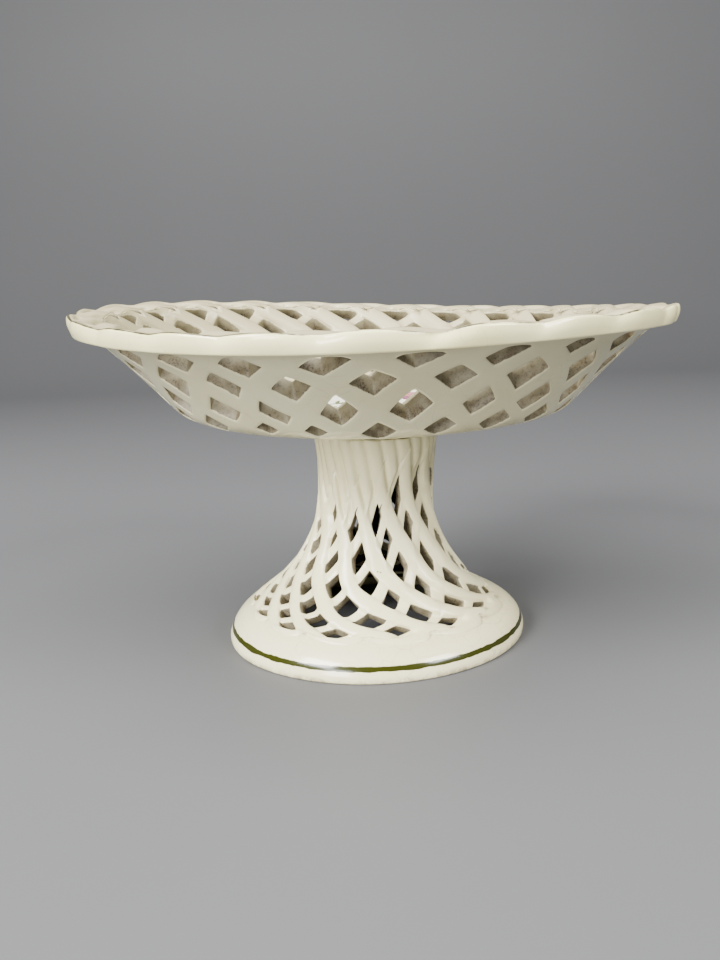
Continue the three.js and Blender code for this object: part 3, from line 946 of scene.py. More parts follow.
    def neck(self, body: ClayBody, loop: dict[str, Array], ring: tuple[Array, Array]) -> None:
        """Carries the net's upper border up to the joint; the angle eases to even steps on the way.

        Args:
            body: The pedestal's clay.
            loop: Angles, heights and relief of the border.
            ring: Point numbers of the border, outside and inside.
        """
        t = shares(33) ** 1.15
        height = blend(loop["height"], self.neck_top, t)
        degrees = blend(loop["degrees"], even_angles(loop["degrees"]), ease(t))
        u = self.broad_number(degrees, height)
        u = u - self.net.knife.nudge(u, self.thin_number(degrees, height))[0]
        near = ease(height - loop["height"], 0.0, self.neck_blend)
        relief = blend(loop["relief"], self.neck_relief(u, height), near)
        outer = body.add(self.wall_point(degrees, height, -relief), recess=np.clip(-relief, 0, 1))
        rows = slice(3, None, 5)
        inner = body.add(self.wall_point(degrees[rows], height[rows], self.wall), inside=1.0)
        body.carry(ring[0], outer)
        body.carry(ring[1], inner)
        body.carry(outer[-1], inner[-1:])

    def lip(self, body: ClayBody, loop: dict[str, Array], ring: tuple[Array, Array]) -> None:
        """Carries the net's lower border down over the scalloped lip and back under it.

        Args:
            body: The pedestal's clay.
            loop: Angles, heights and relief of the border.
            ring: Point numbers of the border, outside and inside.
        """
        size = len(loop["degrees"])
        start = loop["degrees"][0]
        u_edge = np.arange(size) * self.straps / size
        first = np.argmin(np.abs(short_way(self.lip_line(u_edge)[0], start)))
        u_edge = u_edge + first * self.straps / size
        degrees_edge, height_edge = self.lip_line(u_edge)
        degrees_edge = degrees_edge - np.round((degrees_edge[0] - start) / FULL_TURN) * FULL_TURN
        t = np.array([0.15, 0.3, 0.45, 0.6, 0.72, 0.82, 0.9])[:, None]
        height = blend(loop["height"], height_edge + self.lip_round, t)
        degrees = blend(loop["degrees"], degrees_edge, ease(t))
        right = short_way(degrees_edge, self.lip_faint)
        proud = self.lip_proud * (1 - self.lip_fade * np.exp(-(right / self.lip_faint_width) ** 2))
        relief = blend(loop["relief"], proud, ease(t, 0.0, 0.8))
        rolled = np.array([[0.5, 0.86], [0.1, 0.6], [-0.25, 0.2], [-0.4, -0.5]])
        height = np.concatenate([height, height_edge + rolled[:, :1]])
        degrees = np.concatenate([degrees, np.broadcast_to(degrees_edge, (len(rolled), size))])
        relief = np.concatenate([relief, proud * rolled[:, 1:]])
        low = np.array([0.0] * 5 + [0.1, 0.3, 0.7, 1.0, 1.0, 1.0])[:, None]
        pool = low * self.cusp_bell(u_edge, self.lip_pool)
        outer = body.add(self.wall_point(degrees, height, -relief), pool=pool)
        inner = body.add(self.wall_point(degrees_edge, self.bottom, self.wall), inside=1.0)
        body.carry(ring[0], outer)
        body.carry(ring[1], inner[None])
        body.carry(outer[-1], inner[None])


@dataclass
class FootRing:
    """The turned foot: a shoulder that carries the skirt on, a rounded side and a standing edge."""

    firing: Firing
    pedestal: Pedestal
    radius: float = 63.8
    height: float = 12.2
    standing_width: float = 6.0
    face: float = 2.4
    shoulder_run: float = 7.0
    tuck: float = 0.1
    waver: float = 0.22
    waver_height: float = 6.0
    pool_width: float = 0.1
    lip_shadow: float = 0.4
    columns: int = 512

    def build(self) -> bpy.types.Object:
        """Makes the ring: shoulder rows along the skirt's own curve, then a swept section.

        Returns:
            The foot ring's object.
        """
        body = ClayBody()
        u = np.arange(self.columns) * self.pedestal.straps / self.columns
        degrees, top = self.pedestal.lip_line(u)
        share = np.linspace(0, 1, 6)[:, None]
        height = blend(top - self.tuck, self.height, share)
        shoulder = self.pedestal.wall_point(degrees, height, 0.0)
        r, z, inside = (column[:, None] for column in self.section().T)
        sway = self.waver * ripple(degrees, 0.0, 5, 6) * np.exp(-(z / self.waver_height) ** 2)
        # Glaze pools at the cusps; the least value everywhere else lays a painted shadow along the whole
        # lip under the skirt.
        pool = blend(self.lip_shadow, 1.0, self.pedestal.cusp_bell(u, self.pool_width))
        first = body.add(shoulder, height=height, pool=pool * (1 - share) ** 3)
        second = body.add(self.firing.foot(r + sway, degrees, z), height=z, inside=inside, worn=1.0)
        body.tube(np.concatenate([first, second]))
        log.info("foot ring: %d points round", self.columns)
        return body.build("foot_ring_fired")

    def section(self) -> Array:
        """Section from the shoulder over the side and the standing edge to the inside.

        Returns:
            Rows of radius, height and inside mask.
        """
        p = self.pedestal
        into = np.array(p.inward(self.height))
        top = np.array([p.radius_at(self.height), self.height])
        bend = top + self.shoulder_run * np.array([-into[1], into[0]])
        curve = quadratic(shares(14), top, bend, np.array([self.radius, self.face]))
        inner = np.array([p.radius_at(p.bottom), p.bottom]) + p.wall * into
        foot = np.array([
            [self.radius, self.face, 0], [self.radius, 0, 0], [self.radius - self.standing_width, 0, 0.6],
            [inner[0], inner[1], 1]])
        foot = densed(rounded_line(foot, (0, 1.1, 0.7, 0)), 1.6)
        return np.concatenate([np.hstack([curve, np.zeros((len(curve), 1))]), foot[1:]])


@dataclass
class SlipJoint:
    """Seam of slip that lutes the dish on the neck, uneven and cracked in the firing."""

    firing: Firing
    pedestal: Pedestal
    bottom: float = 87.45
    top: float = 88.15
    proud: float = 0.35
    tuck: float = 0.25
    waver: float = 0.22
    chatter: float = 0.1
    columns: int = 192

    def build(self) -> bpy.types.Object:
        """Makes the seam as a rounded bead whose radius wavers by a few tenths of a millimetre.

        Returns:
            The seam's object.
        """
        body = ClayBody()
        degrees = np.arange(self.columns) * FULL_TURN / self.columns
        outer = float(self.pedestal.radius_at(self.pedestal.neck_top))
        inner = outer - self.pedestal.wall
        corners = np.array([[inner, self.top], [outer + self.proud, self.top],
                            [outer - self.tuck, self.bottom], [inner, self.bottom]])
        r, z = (column[:, None] for column in densed(rounded_line(corners, (0, 0.3, 0.3, 0)), 0.9).T)
        waver = self.waver * ripple(degrees, 0.0, 21, 7)
        waver = waver + self.chatter * sine(37 * degrees) * sine(5 * degrees)
        swell = ease(r, outer - 1, outer + self.proud)
        body.tube(body.add(self.firing.foot(r + swell * waver, degrees, z), height=z, worn=1.0))
        return body.build("neck_slip_joint_fired")


@dataclass
class DishLine:
    """Outer line of the dish from the band down the wall, round the heel and along the underside."""

    rim_radius: float = 120.0
    band_width: float = 9.0
    band_depth: float = 7.0
    rim_height: float = 137.3
    bottom: float = 88.2
    seat_radius: float = 27.0
    heel_radius: float = 78.6
    heel_rise: float = 9.4
    heel_bend: float = 5.0
    hollow: float = 0.5
    gap: float = 0.3

    def __post_init__(self) -> None:
        """Samples the line finely and measures the distance along it."""
        top = np.array([self.rim_radius - self.band_width, self.rim_height - self.band_depth - self.gap])
        heel = np.array([self.heel_radius, self.bottom + self.heel_rise])
        seat = np.array([self.seat_radius, self.bottom])
        up = (top - heel) / np.linalg.norm(top - heel)
        along = (heel - seat) / np.linalg.norm(heel - seat)
        above, below = heel + up * self.heel_bend, heel - along * self.heel_bend
        sag = np.array([-up[1], up[0]]) * self.hollow * 2
        t = np.linspace(0, 1, 200)[:, None]
        wall = quadratic(t, top, (top + above) / 2 + sag, above)
        turn = quadratic(t, above, heel, below)
        under = blend(below, seat, t)
        self.points = np.concatenate([wall, turn[1:], under[1:]])
        runs = np.linalg.norm(np.diff(self.points, axis=0), axis=1)
        self.distance = np.concatenate([[0], np.cumsum(runs)])
        self.length = float(self.distance[-1])
        tangent = np.gradient(self.points, self.distance, axis=0)
        self.tangent = tangent / np.linalg.norm(tangent, axis=1)[:, None]

    def at(self, distance: Array, into: Array) -> tuple[Array, Array]:
        """Radius and height at a distance down the line and a depth into the wall.

        Args:
            distance: Millimetres from the line's top; negative ones lie above it.
            into: Millimetres into the wall, square to the line.

        Returns:
            Radii and heights.
        """
        held = np.clip(distance, 0, self.length)
        r, z = (np.interp(held, self.distance, column) for column in self.points.T)
        tr, tz = (np.interp(held, self.distance, column) for column in self.tangent.T)
        beyond = distance - held
        return r + tr * beyond + tz * into, z + tz * beyond - tr * into


@dataclass
class Dish:
    """The pierced dish: four rows of cuts between straps, a raised strapwork inside, a plain floor."""

    firing: Firing
    line: DishLine = field(default_factory=DishLine)
    wall: float = 5.5
    floor_thickness: float = 6.2
    columns: int = 24
    rows: tuple = (5.2, 16.7, 31.6, 42.4)
    phase: float = 9.75
    strip: float = 1.8
    plateau: float = 1.7
    crown: float = 0.7
    edge_soft: float = 1.5
    seam_soft: float = 5.0
    near_seam: float = 1.5
    cut_tilt: float = 0.27
    hold: float = 0.5
    edge_above: float = 0.25
    seat: tuple = (22.0, 14.0, 7.0, 3.0)
    slope_left: float = 12.0
    floor_hold: float = 0.8
    white_from: float = 68.0
    white_at: float = 40.0
    net: Strapwork = field(default_factory=lambda: Strapwork(
        0.585, 0.585, 24, seed=23, bow=0.03, slant=0.025, taper=0.2, stretch=0.26,
        knife=KnifeWork(24, DISH_CUTS)))
    profile: CutProfile = CutProfile(0.1, 0.1, 0.16, 0.12)

    def __post_init__(self) -> None:
        """Sets up the spacing of the rows and the floor's line."""
        self.row_distance = SmoothCurve(tuple(enumerate(self.rows)))
        self.pitch = FULL_TURN / self.columns
        r, z = self.line.at(np.linspace(self.line.length - 60, self.line.length, 241), self.wall)
        floor = held_above(z, self.line.bottom + self.floor_thickness, self.floor_hold, 0.0)
        self.floor_table = (r[::-1], floor[::-1])

    def floor_height(self, radius: Array) -> Array:
        """Height of the inside of the floor at a radius: flat in the middle, eased into the slope."""
        return np.interp(radius, *self.floor_table)

    def over_number(self, degrees: Array, distance: Array) -> Array:
        """Number of the raised strap at an angle and a distance down the inside of the wall."""
        return ((degrees - self.phase) * 2 / self.pitch + self.row_number(distance)) / 2

    def row_number(self, distance: Array) -> Array:
        """Number of the row at a distance down the inside of the wall, with its fraction."""
        table = np.linspace(-3.0, 5.0, 400)
        return np.interp(distance, self.row_distance(table), table) + self.cut_tilt

    def seam_relief(self, degrees: Array, distance: Array) -> Array:
        """Relief of the raised straps beside the net, with softer edges."""
        return self.strap_relief(self.over_number(degrees, distance), self.seam_soft)

    def strap_relief(self, v: Array, soft: float | None = None) -> Array:
        """Relief of the raised straps: plateau + crown (1 - s^2) at half numbers, 0 between.

        Args:
            v: Over numbers.
            soft: Half width of the straps' edges, in corner lengths of the net.

        Returns:
            Relief in millimetres.
        """
        off = off_whole(v)
        half = self.net.over_share / 2 * (1 - self.net.taper)
        edge = self.net.corner * (self.edge_soft if soft is None else soft)
        return (self.plateau + self.crown * crowned(off, half)) * ease(off, half - edge, half + edge)

    def build(self) -> bpy.types.Object:
        """Makes the dish: the net, the plain zones above and below it, the floor and the underside.

        Returns:
            The dish's object.
        """
        body = ClayBody()
        share, depth, cut = self.profile.loops()
        column, row = np.meshgrid(np.arange(self.columns), np.arange(len(self.rows)), indexing="ij")
        centres = np.stack([column + row, column], axis=-1).reshape(-1, 2).astype(float)
        v, u = self.net.cells(centres, share, depth)
        shift_v, shift_u = self.net.knife.nudge(v, u)
        degrees = self.phase + self.pitch * (u + shift_u + v + shift_v) / 2
        least = self.strip * (1 - 0.5 * share) * (1 - 0.45 * depth)
        raw = self.row_distance(v + shift_v - u - shift_u - self.cut_tilt * depth)
        distance = held_above(raw, least, self.hold)
        near = ease(least + self.near_seam - raw, 0.0, self.near_seam)
        raised = blend(self.strap_relief(v), self.seam_relief(degrees, distance), near) * depth ** 3
        r, z = self.line.at(distance, self.wall * depth + raised)
        ids = self.lay(body, r, degrees, z, cut=cut, inside=(depth > INNER_FACE) * 1.0,
                       bright=ease(depth, 0.3, 0.9))
        upper, lower = self.net.join(
            body, (v, u), ids, raw[:, 0] < self.rows[1], degrees=degrees[:, 0],
            distance=distance[:, 0], raised=raised[:, -1])
        top = self.top_zone(body, *upper)
        self.underside(body, *lower)
        self.floor_zone(body, *lower)
        body.sheet(np.stack(top))
        log.info("dish: %d holes cut", len(centres))
        return body.build("pierced_dish_fired")

    def lay(self, body: ClayBody, radius: Array, degrees: Array, height: Array, **values: Array) -> Array:
        """Adds points of the dish with their radius as a named value, and gives their numbers."""
        return body.add(self.firing.dish(radius, degrees, height), radius=radius, **values)

    def top_zone(self, body: ClayBody, loop: dict[str, Array],
                 ring: tuple[Array, Array]) -> tuple[Array, Array]:
        """Strip between the top row of cuts and the band, outside and inside.

        Args:
            body: The dish's clay.
            loop: Angles, distances and relief of the net's upper border.
            ring: Point numbers of the border, outside and inside.

        Returns:
            Point numbers of the two top edges.
        """
        t = np.array([0.35, 0.7, 1.0])[:, None]
        distance = blend(loop["distance"], -self.edge_above, t)
        degrees = blend(loop["degrees"], even_angles(loop["degrees"]), t)
        raised = blend(loop["raised"], self.seam_relief(degrees, distance), t)
        edges = []
        for into, inside, border in ((0.0, 0.0, ring[0]), (self.wall + raised, 1.0, ring[1])):
            r, z = self.line.at(distance, into)
            ids = self.lay(body, r, degrees, z, inside=inside)
            body.carry(border, ids)
            edges.append(ids[-1])
        return edges[0], edges[1]

    def underside(self, body: ClayBody, loop: dict[str, Array], ring: tuple[Array, Array]) -> None:
        """Underside from the net's lower border to the seat and across it.

        Args:
            body: The dish's clay.
            loop: Angles, distances and relief of the border.
            ring: Point numbers of the border, outside and inside.
        """
        even = even_angles(loop["degrees"])
        t = shares(11)
        degrees = blend(loop["degrees"], even, ease(t, 0, 0.8))
        r, z = self.line.at(blend(loop["distance"], self.line.length, t), 0.0)
        outer = self.lay(body, r, degrees, z)
        flat = self.lay(body, np.array(self.seat)[:, None], even, self.line.bottom)
        middle = self.lay(body, np.zeros(1), np.zeros(1), self.line.bottom)
        body.carry(ring[0], outer, flat)
        body.fan(flat[-1], middle)

    def floor_zone(self, body: ClayBody, loop: dict[str, Array], ring: tuple[Array, Array]) -> None:
        """Inside from the net's lower border down to the middle of the floor.

        Args:
            body: The dish's clay.
            loop: Angles, distances and relief of the border.
            ring: Point numbers of the border, outside and inside.
        """
        even = even_angles(loop["degrees"])
        t = shares(15)
        distance = blend(loop["distance"], self.line.length - self.slope_left, t)
        degrees = blend(loop["degrees"], even, ease(t, 0.2, 0.9))
        r, z = self.line.at(distance, self.wall)
        # The straps start from the angles of the underside's first row.
        start = blend(loop["degrees"], even, ease(shares(11)[0], 0, 0.8))
        straps = self.strap_relief(self.over_number(start, distance))
        raised = blend(loop["raised"] * (1 - ease(t, 0, 0.22)), straps,
                       ease(t, 0, 0.1) * (1 - ease(t, 0.06, 0.3)))
        floor = self.floor_height(r)
        slope = blend(z, np.maximum(z, floor), ease(t, 0.2, 0.45))
        first = self.lay(body, r, degrees, np.where(t > 0.45, floor, slope) + raised, inside=1.0,
                         white=ease(-r, -self.white_from, -self.white_at))
        well = np.linspace(float(r[-1, 0]), 0, 10)[1:-1, None]
        second = self.lay(body, well, even, self.floor_height(well), inside=1.0, white=1.0)
        body.carry(ring[1], first, second)
        centre = self.lay(body, np.zeros(1), np.zeros(1), self.floor_height(0.0), inside=1.0, white=1.0)
        body.fan(second[-1], centre)


@dataclass
class RimBand:
    """The lobed band luted round the dish's edge, and the inner slope that carries the straps up.

    uneven moves each cusp by its share of the pitch and big_lobe gives one cusp's number and size.
    wear holds the angle where the painted line is kept, where its wear starts and is full, and the
    least wear; patches hold angle, strength and spread; the blind pairs are where the recesses ease.
    """

    firing: Firing
    dish: Dish
    radius: float = 120.0
    height: float = 137.3
    depth: float = 7.0
    batter: float = 1.5
    lip: float = 1.3
    lip_drop: float = 0.5
    lobes: int = 24
    phase: float = 10.2
    cusp: float = 2.0
    cusp_soft: float = 0.14
    scallop: float = 1.5
    peak: float = 0.4
    seam: float = -0.3
    inner_run: float = 1.4
    inner_drop: float = 0.25
    blind: float = 1.7
    blind_cut: float = 0.85
    blind_over: tuple = (0.62, 0.86)
    blind_under: tuple = (0.85, 1.15)
    blind_from: tuple = (0.12, 0.3)
    blind_to: tuple = (0.72, 0.92)
    rise_way: tuple = (-0.35, 0.93)
    twist: float = 0.12
    waver: float = 0.18
    columns: int = 720
    uneven: tuple = (0.04, -0.06, 0.03, 0.05, -0.04, 0.02, -0.05, 0.06, -0.02, 0.04, -0.05, 0.03,
                     -0.03, -0.17, 0.02, -0.02, -0.15, -0.1, 0.01, 0.1, 0.12, 0.3, 0.1, -0.03)
    big_lobe: tuple = (18, 1.4)
    wear: tuple = (-168.0, 56.0, 76.0, 0.05)
    patches: tuple = ((-82.0, 1.0, 6.0), (-42.0, 0.8, 1.5))
    patch_edge: tuple = (0.3, 1.5)

    def section(self) -> Array:
        """Section from the inner lip over the face and the ledge to the seat and up the inner slope.

        Returns:
            Rows of radius, height, share of the lobe's inset, of its drop, of its slant, and how far
            down the inner slope the row lies, from 0 at the lip to 1 at the seat.
        """
        low_r, low_z = self.dish.line.at(self.seam, 0.0)
        high_r, high_z = self.dish.line.at(self.seam, self.dish.wall)
        inner = self.radius - self.lip
        start = [inner - self.inner_run, self.height - self.inner_drop, 0.45, 0.9, 0, 0.1]
        corners = np.array([
            start,
            [inner, self.height, 0.6, 1, 0, 0],
            [self.radius - self.lip_drop / 2, self.height - self.lip_drop, 1, 1, 0, 0],
            [self.radius, self.height - self.depth / 2, 0.8, 0.5, 0.5, 0],
            [self.radius - self.batter, self.height - self.depth, 0.4, 0, 1, 0],
            [low_r, low_z, 0, 0, 1, 0],
            [high_r, high_z, 0, 0, 0, 1],
            [blend(high_r, inner, 0.4), blend(high_z, self.height, 0.35), 0.2, 0.4, 0, 0.6],
            start])
        return densed(rounded_line(corners, (0, 0.5, 0.9, 4, 0.9, 0, 0, 5, 0)), 1.1)

    def fall(self, place: Array) -> Array:
        """How far the lobes' outline falls in, from 0 between the cusps to each cusp's own size.

        The cusps stand at whole numbers of the pitch, each moved by its own share of it. The outline
        between them is 1 - sin(pi / 2 rise), rise being a softened peak.

        Args:
            place: Angles from the first cusp.

        Returns:
            One value per angle.
        """
        whole = np.arange(-1, self.lobes + 2)
        own = np.array(self.uneven)[whole % self.lobes]
        warped = np.interp(place / (FULL_TURN / self.lobes), whole + own, whole)
        part = np.mod(warped, 1.0)
        rise = np.where(part < self.peak, part / self.peak, (1 - part) / (1 - self.peak))
        soft = self.cusp_soft
        rise = (np.hypot(rise, soft) - soft) / (np.hypot(1.0, soft) - soft)
        size = np.random.default_rng(31).uniform(0.6, 0.9, self.lobes)
        size[self.big_lobe[0]] = self.big_lobe[1]
        return (1 - np.sin(np.pi / 2 * rise)) * size[np.round(warped).astype(int) % self.lobes]

    def blinds(self, over: Array, under: Array, slope: Array) -> Array:
        """Mask of the blind recesses between the straps of the inner slope.

        Args:
            over: Numbers of the raised straps.
            under: Numbers of the straps below.
            slope: How far down the inner slope the points lie.

        Returns:
            1 in the recesses and 0 elsewhere, eased at their edges.
        """
        half = self.dish.net.over_share / 2
        mask = 1 - ease(off_whole(over) / half, *self.blind_over)
        mask = mask * (1 - ease(off_whole(under) / half, *self.blind_under))
        return mask * ease(slope, *self.blind_from) * (1 - ease(slope, *self.blind_to))

    def build(self) -> bpy.types.Object:
        """Makes the band: r - inset fall cusp and h - drop fall scallop, fall from the lobes.

        Returns:
            The band's object.
        """
        body = ClayBody()
        r0, z0, inset, drop, slant, slope = (column[:, None] for column in self.section()[:-1].T)
        place = np.arange(self.columns) / self.columns * FULL_TURN
        fall = self.fall(place)
        degrees = self.phase + place - slant * self.twist * FULL_TURN / self.lobes
        waver = self.waver * ripple(degrees, z0, 33)
        r = r0 - inset * fall * self.cusp + waver * (inset > 0.1)
        z = z0 - drop * fall * self.scallop
        line = self.dish.line
        seam_r, seam_z = line.at(self.seam, self.dish.wall)
        distance = -np.hypot(r0 - seam_r, z0 - seam_z) * (slope > 0)
        over = self.dish.over_number(degrees, distance)
        blind = self.blinds(over, over - self.dish.row_number(distance), slope)
        raised = self.dish.seam_relief(degrees, distance) * ease(slope, 0.05, 0.7) - self.blind * blind
        seat = np.subtract(line.at(self.seam, 1.0), line.at(self.seam, 0.0))
        down = ease(slope, 0.35, 1.0)
        r = r + raised * blend(self.rise_way[0], seat[0], down)
        z = z + raised * blend(self.rise_way[1], seat[1], down)
        edge = np.hypot(r0 - (self.radius - self.lip), z0 - self.height) * np.where(slope > 0, 1, -1)
        about, start, end, least = self.wear
        worn = blend(least, 1.0, ease(np.abs(short_way(degrees, about)), start, end))
        patch = sum(strength * np.exp(-short_way(degrees, at) ** 2 / spread)
                    for at, strength, spread in self.patches)
        patch = patch * np.exp(-((edge - self.patch_edge[0]) / self.patch_edge[1]) ** 2)
        # The blind recesses take the cut clay's tones as painted shade; no clay is cut there.
        body.tube(body.add(
            self.firing.dish(r, degrees, z), inside=(slope > 0) * 1.0, lip=edge, worn=worn,
            cut=blind * self.blind_cut, bright=1.0, pool=patch))
        log.info("rim band: %d lobes", self.lobes)
        return body.build("lobed_rim_band_fired")


class Bench:
    """Adds nodes to one shader tree and joins them."""

    def __init__(self, tree: bpy.types.NodeTree) -> None:
        """Takes the tree to work on; vector is where its noises are read, once it is set."""
        self.tree = tree
        self.vector: Socket | None = None

    def feed(self, node: bpy.types.Node, **inputs: object) -> bpy.types.Node:
        """Sets a node's inputs or joins them.

        Args:
            node: The node.
            inputs: Values or sockets for its inputs; a name's underscores stand for spaces, and
                in0, in1 and in2 name inputs by number.

        Returns:
            The node.
        """
        for key, value in inputs.items():
            by_number = key[:2] == "in" and key[2:].isdigit()
            socket = node.inputs[int(key[2:]) if by_number else key.replace("_", " ")]
            if isinstance(value, Socket):
                self.tree.links.new(value, socket)
            else:
                socket.default_value = value
        return node

    def add(self, kind: str, settings: dict | None = None, **inputs: object) -> bpy.types.Node:
        """Adds a node.

        Args:
            kind: The node's type name after "ShaderNode".
            settings: Properties of the node.
            inputs: Values or sockets for its inputs, as feed takes them.

        Returns:
            The node.
        """
        node = self.tree.nodes.new("ShaderNode" + kind)
        for key, value in (settings or {}).items():
            setattr(node, key, value)
        return self.feed(node, **inputs)

    def calc(self, operation: str, first: object, second: object = 0.0, third: object = 0.0) -> Socket:
        """Adds a Math node and gives its result."""
        return self.add("Math", {"operation": operation}, in0=first, in1=second, in2=third).outputs[0]

    def times(self, first: object, second: object) -> Socket:
        """The product of two values."""
        return self.calc("MULTIPLY", first, second)

    def span(self, value: object, low: object, high: object, to_low: float = 0.0,
             to_high: float = 1.0) -> Socket:
        """Adds a smooth Map Range node from low..high to to_low..to_high and gives its result."""
        return self.add("MapRange", {"interpolation_type": "SMOOTHSTEP"}, Value=value, From_Min=low,
                        From_Max=high, To_Min=to_low, To_Max=to_high).outputs["Result"]

    def mix(self, share: object, first: object, second: object) -> Socket:
        """Adds a colour Mix node and gives its result."""
        return self.add("Mix", {"data_type": "RGBA"}, in0=share, in6=first, in7=second).outputs[2]

    def noise(self, scale: float, detail: float, rough: float = 0.55) -> Socket:
        """Adds a Noise node and gives its value."""
        return self.add("TexNoise", Vector=self.vector, Scale=scale, Detail=detail,
                        Roughness=rough).outputs[0]

    def value(self, name: str) -> Socket:
        """Reads a named value of the mesh's points."""
        return self.add("Attribute", {"attribute_name": name}).outputs["Fac"]


class Dressing:
    """A material with its bench, whose noises are read in the piece's own coordinates."""

    def __init__(self, name: str) -> None:
        """Makes the material."""
        self.material = bpy.data.materials.new(name)
        self.material.use_nodes = True
        self.bench = Bench(self.material.node_tree)
        self.bench.vector = self.bench.add("TexCoord").outputs["Object"]

    def close(self, colour: Socket, roughness: object, **inputs: object) -> bpy.types.Material:
        """Feeds the material's shader.

        Args:
            colour: Its base colour.
            roughness: Its roughness.
            inputs: Further values or sockets by name.

        Returns:
            The material.
        """
        shader = self.material.node_tree.nodes["Principled BSDF"]
        self.bench.feed(shader, Base_Color=colour, Roughness=roughness, **inputs)
        return self.material


class Effect(Enum):
    """The surface effects that more than one finish uses."""

    GLAZE = "glaze tone"
    CRAZING = "crazing"
    CLAY = "fired clay"
    LINE = "painted line"
    GRIME = "grime"


class EffectShelf:
    """Builds each effect's node group once and places it in the finishes."""

    def __init__(self) -> None:
        """Starts with no group made."""
        self.made: dict[Effect, bpy.types.NodeTree] = {}

    def place(self, bench: Bench, effect: Effect, **inputs: object) -> bpy.types.Node:
        """Places an effect in a finish's tree.

        Args:
            bench: The finish's tree.
            effect: Which effect.
            inputs: Its values or sockets by name.

        Returns:
            The group's node.
        """
        if effect not in self.made:
            self.made[effect] = getattr(self, effect.name.lower())()
        node = bench.tree.nodes.new("ShaderNodeGroup")
        node.node_tree = self.made[effect]
        return bench.feed(node, Vector=bench.vector, **inputs)

    def start(self, effect: Effect, inputs: dict[str, str], outputs: dict[str, str]) -> tuple:
        """Makes an empty group with its sockets, the first of them the Vector.

        Args:
            effect: Which effect, whose value is the group's name.
            inputs: Socket types by name.
            outputs: Socket types by name.

        Returns:
            The group's bench, its input sockets by name and the node of its outputs.
        """
        tree = bpy.data.node_groups.new(effect.value, "ShaderNodeTree")
        for side, sockets in (("INPUT", {"Vector": "Vector"} | inputs), ("OUTPUT", outputs)):
            for name, kind in sockets.items():
                tree.interface.new_socket(name=name, in_out=side, socket_type="NodeSocket" + kind)
        bench = Bench(tree)
        given = {socket.name: socket for socket in tree.nodes.new("NodeGroupInput").outputs}
        bench.vector = given["Vector"]
        return bench, given, tree.nodes.new("NodeGroupOutput")

    def glaze(self) -> bpy.types.NodeTree:
        """Ivory glaze: slow clouds between two tones, with faint fine mottling.

        Returns:
            The group.
        """
        bench, given, out = self.start(Effect.GLAZE, {"Pale": "Color", "Warm": "Color", "Amount": "Float"},
                                       {"Colour": "Color", "Height": "Float"})
        clouds, mottle = bench.noise(26.0, 3.0), bench.noise(420.0, 2.0)
        share = bench.calc("MULTIPLY_ADD", bench.span(clouds, 0.35, 0.7), 0.8,
                           bench.times(bench.span(mottle, 0.4, 0.7), 0.2))
        height = bench.calc("MULTIPLY_ADD", clouds, 0.6, bench.times(mottle, 0.12))
        colour = bench.mix(bench.times(share, given["Amount"]), given["Pale"], given["Warm"])
        bench.feed(out, Colour=colour, Height=height)
        return bench.tree

    def crazing(self) -> bpy.types.NodeTree:
        """Fine cracks in the glaze: edges of warped cells, broken up by a slow noise.

        Returns:
            The group.
        """
        bench, given, out = self.start(
            Effect.CRAZING, {"Scale": "Float", "Width": "Float", "Amount": "Float"}, {"Mask": "Float"})
        warp = bench.add("TexNoise", Vector=bench.vector, Scale=90.0, Detail=2.0).outputs["Color"]
        shifted = bench.add("VectorMath", {"operation": "MULTIPLY_ADD"}, in0=warp,
                            in1=(0.006, 0.006, 0.006), in2=bench.vector).outputs[0]
        cells = bench.add("TexVoronoi", {"feature": "DISTANCE_TO_EDGE"}, Vector=shifted,
                          Scale=given["Scale"])
        line = bench.span(cells.outputs["Distance"], 0.0, given["Width"], 1.0, 0.0)
        patch = bench.span(bench.noise(34.0, 3.0), 0.42, 0.62)
        bench.feed(out, Mask=bench.times(bench.times(line, patch), given["Amount"]))
        return bench.tree

    def clay(self) -> bpy.types.NodeTree:
        """Cut clay under a thin glaze: tan and brown grains in a grey-cream ground; on the skirt and in
        the rim's blind recesses these tones are painted shade.

        Returns:
            The group.
        """
        bench, given, out = self.start(
            Effect.CLAY, {"Ground": "Color", "Tan": "Color", "Brown": "Color", "Amount": "Float"},
            {"Colour": "Color", "Height": "Float"})
        grain, smear = bench.noise(1500.0, 3.0, 0.7), bench.noise(260.0, 3.0, 0.6)
        cloud = bench.span(bench.noise(55.0, 2.0), 0.3, 0.6, 0.45, 1.0)
        tan = bench.times(bench.span(smear, 0.35, 0.62), cloud)
        speck = bench.times(bench.span(grain, 0.5, 0.62), bench.span(smear, 0.4, 0.6, 0.3, 1.0))
        colour = given["Ground"]
        for mask, tone in ((tan, "Tan"), (speck, "Brown")):
            colour = bench.mix(bench.times(mask, given["Amount"]), colour, given[tone])
        bench.feed(out, Colour=colour, Height=bench.calc("MULTIPLY_ADD", grain, 0.5, smear))
        return bench.tree

    def line(self) -> bpy.types.NodeTree:
        """A brushed line: where the distance is under a half width that wavers, worn in places.

        Returns:
            The group.
        """
        bench, given, out = self.start(
            Effect.LINE, {"Distance": "Float", "Half Width": "Float", "Sway": "Float", "Wear": "Float"},
            {"Mask": "Float"})
        slow = bench.calc("SUBTRACT", bench.noise(22.0, 2.0), 0.5)
        off = bench.calc("ABSOLUTE", bench.calc("MULTIPLY_ADD", slow, given["Sway"], given["Distance"]))
        wide = bench.times(given["Half Width"], bench.span(bench.noise(160.0, 3.0), 0.2, 0.8, 0.7, 1.2))
        mask = bench.span(bench.calc("SUBTRACT", off, wide), -0.14, 0.1, 1.0, 0.0)
        worn = bench.span(bench.noise(75.0, 4.0, 0.65), 0.3, 0.62)
        keep = bench.calc("SUBTRACT", 1.0, bench.times(worn, given["Wear"]))
        bench.feed(out, Mask=bench.times(mask, keep))
        return bench.tree

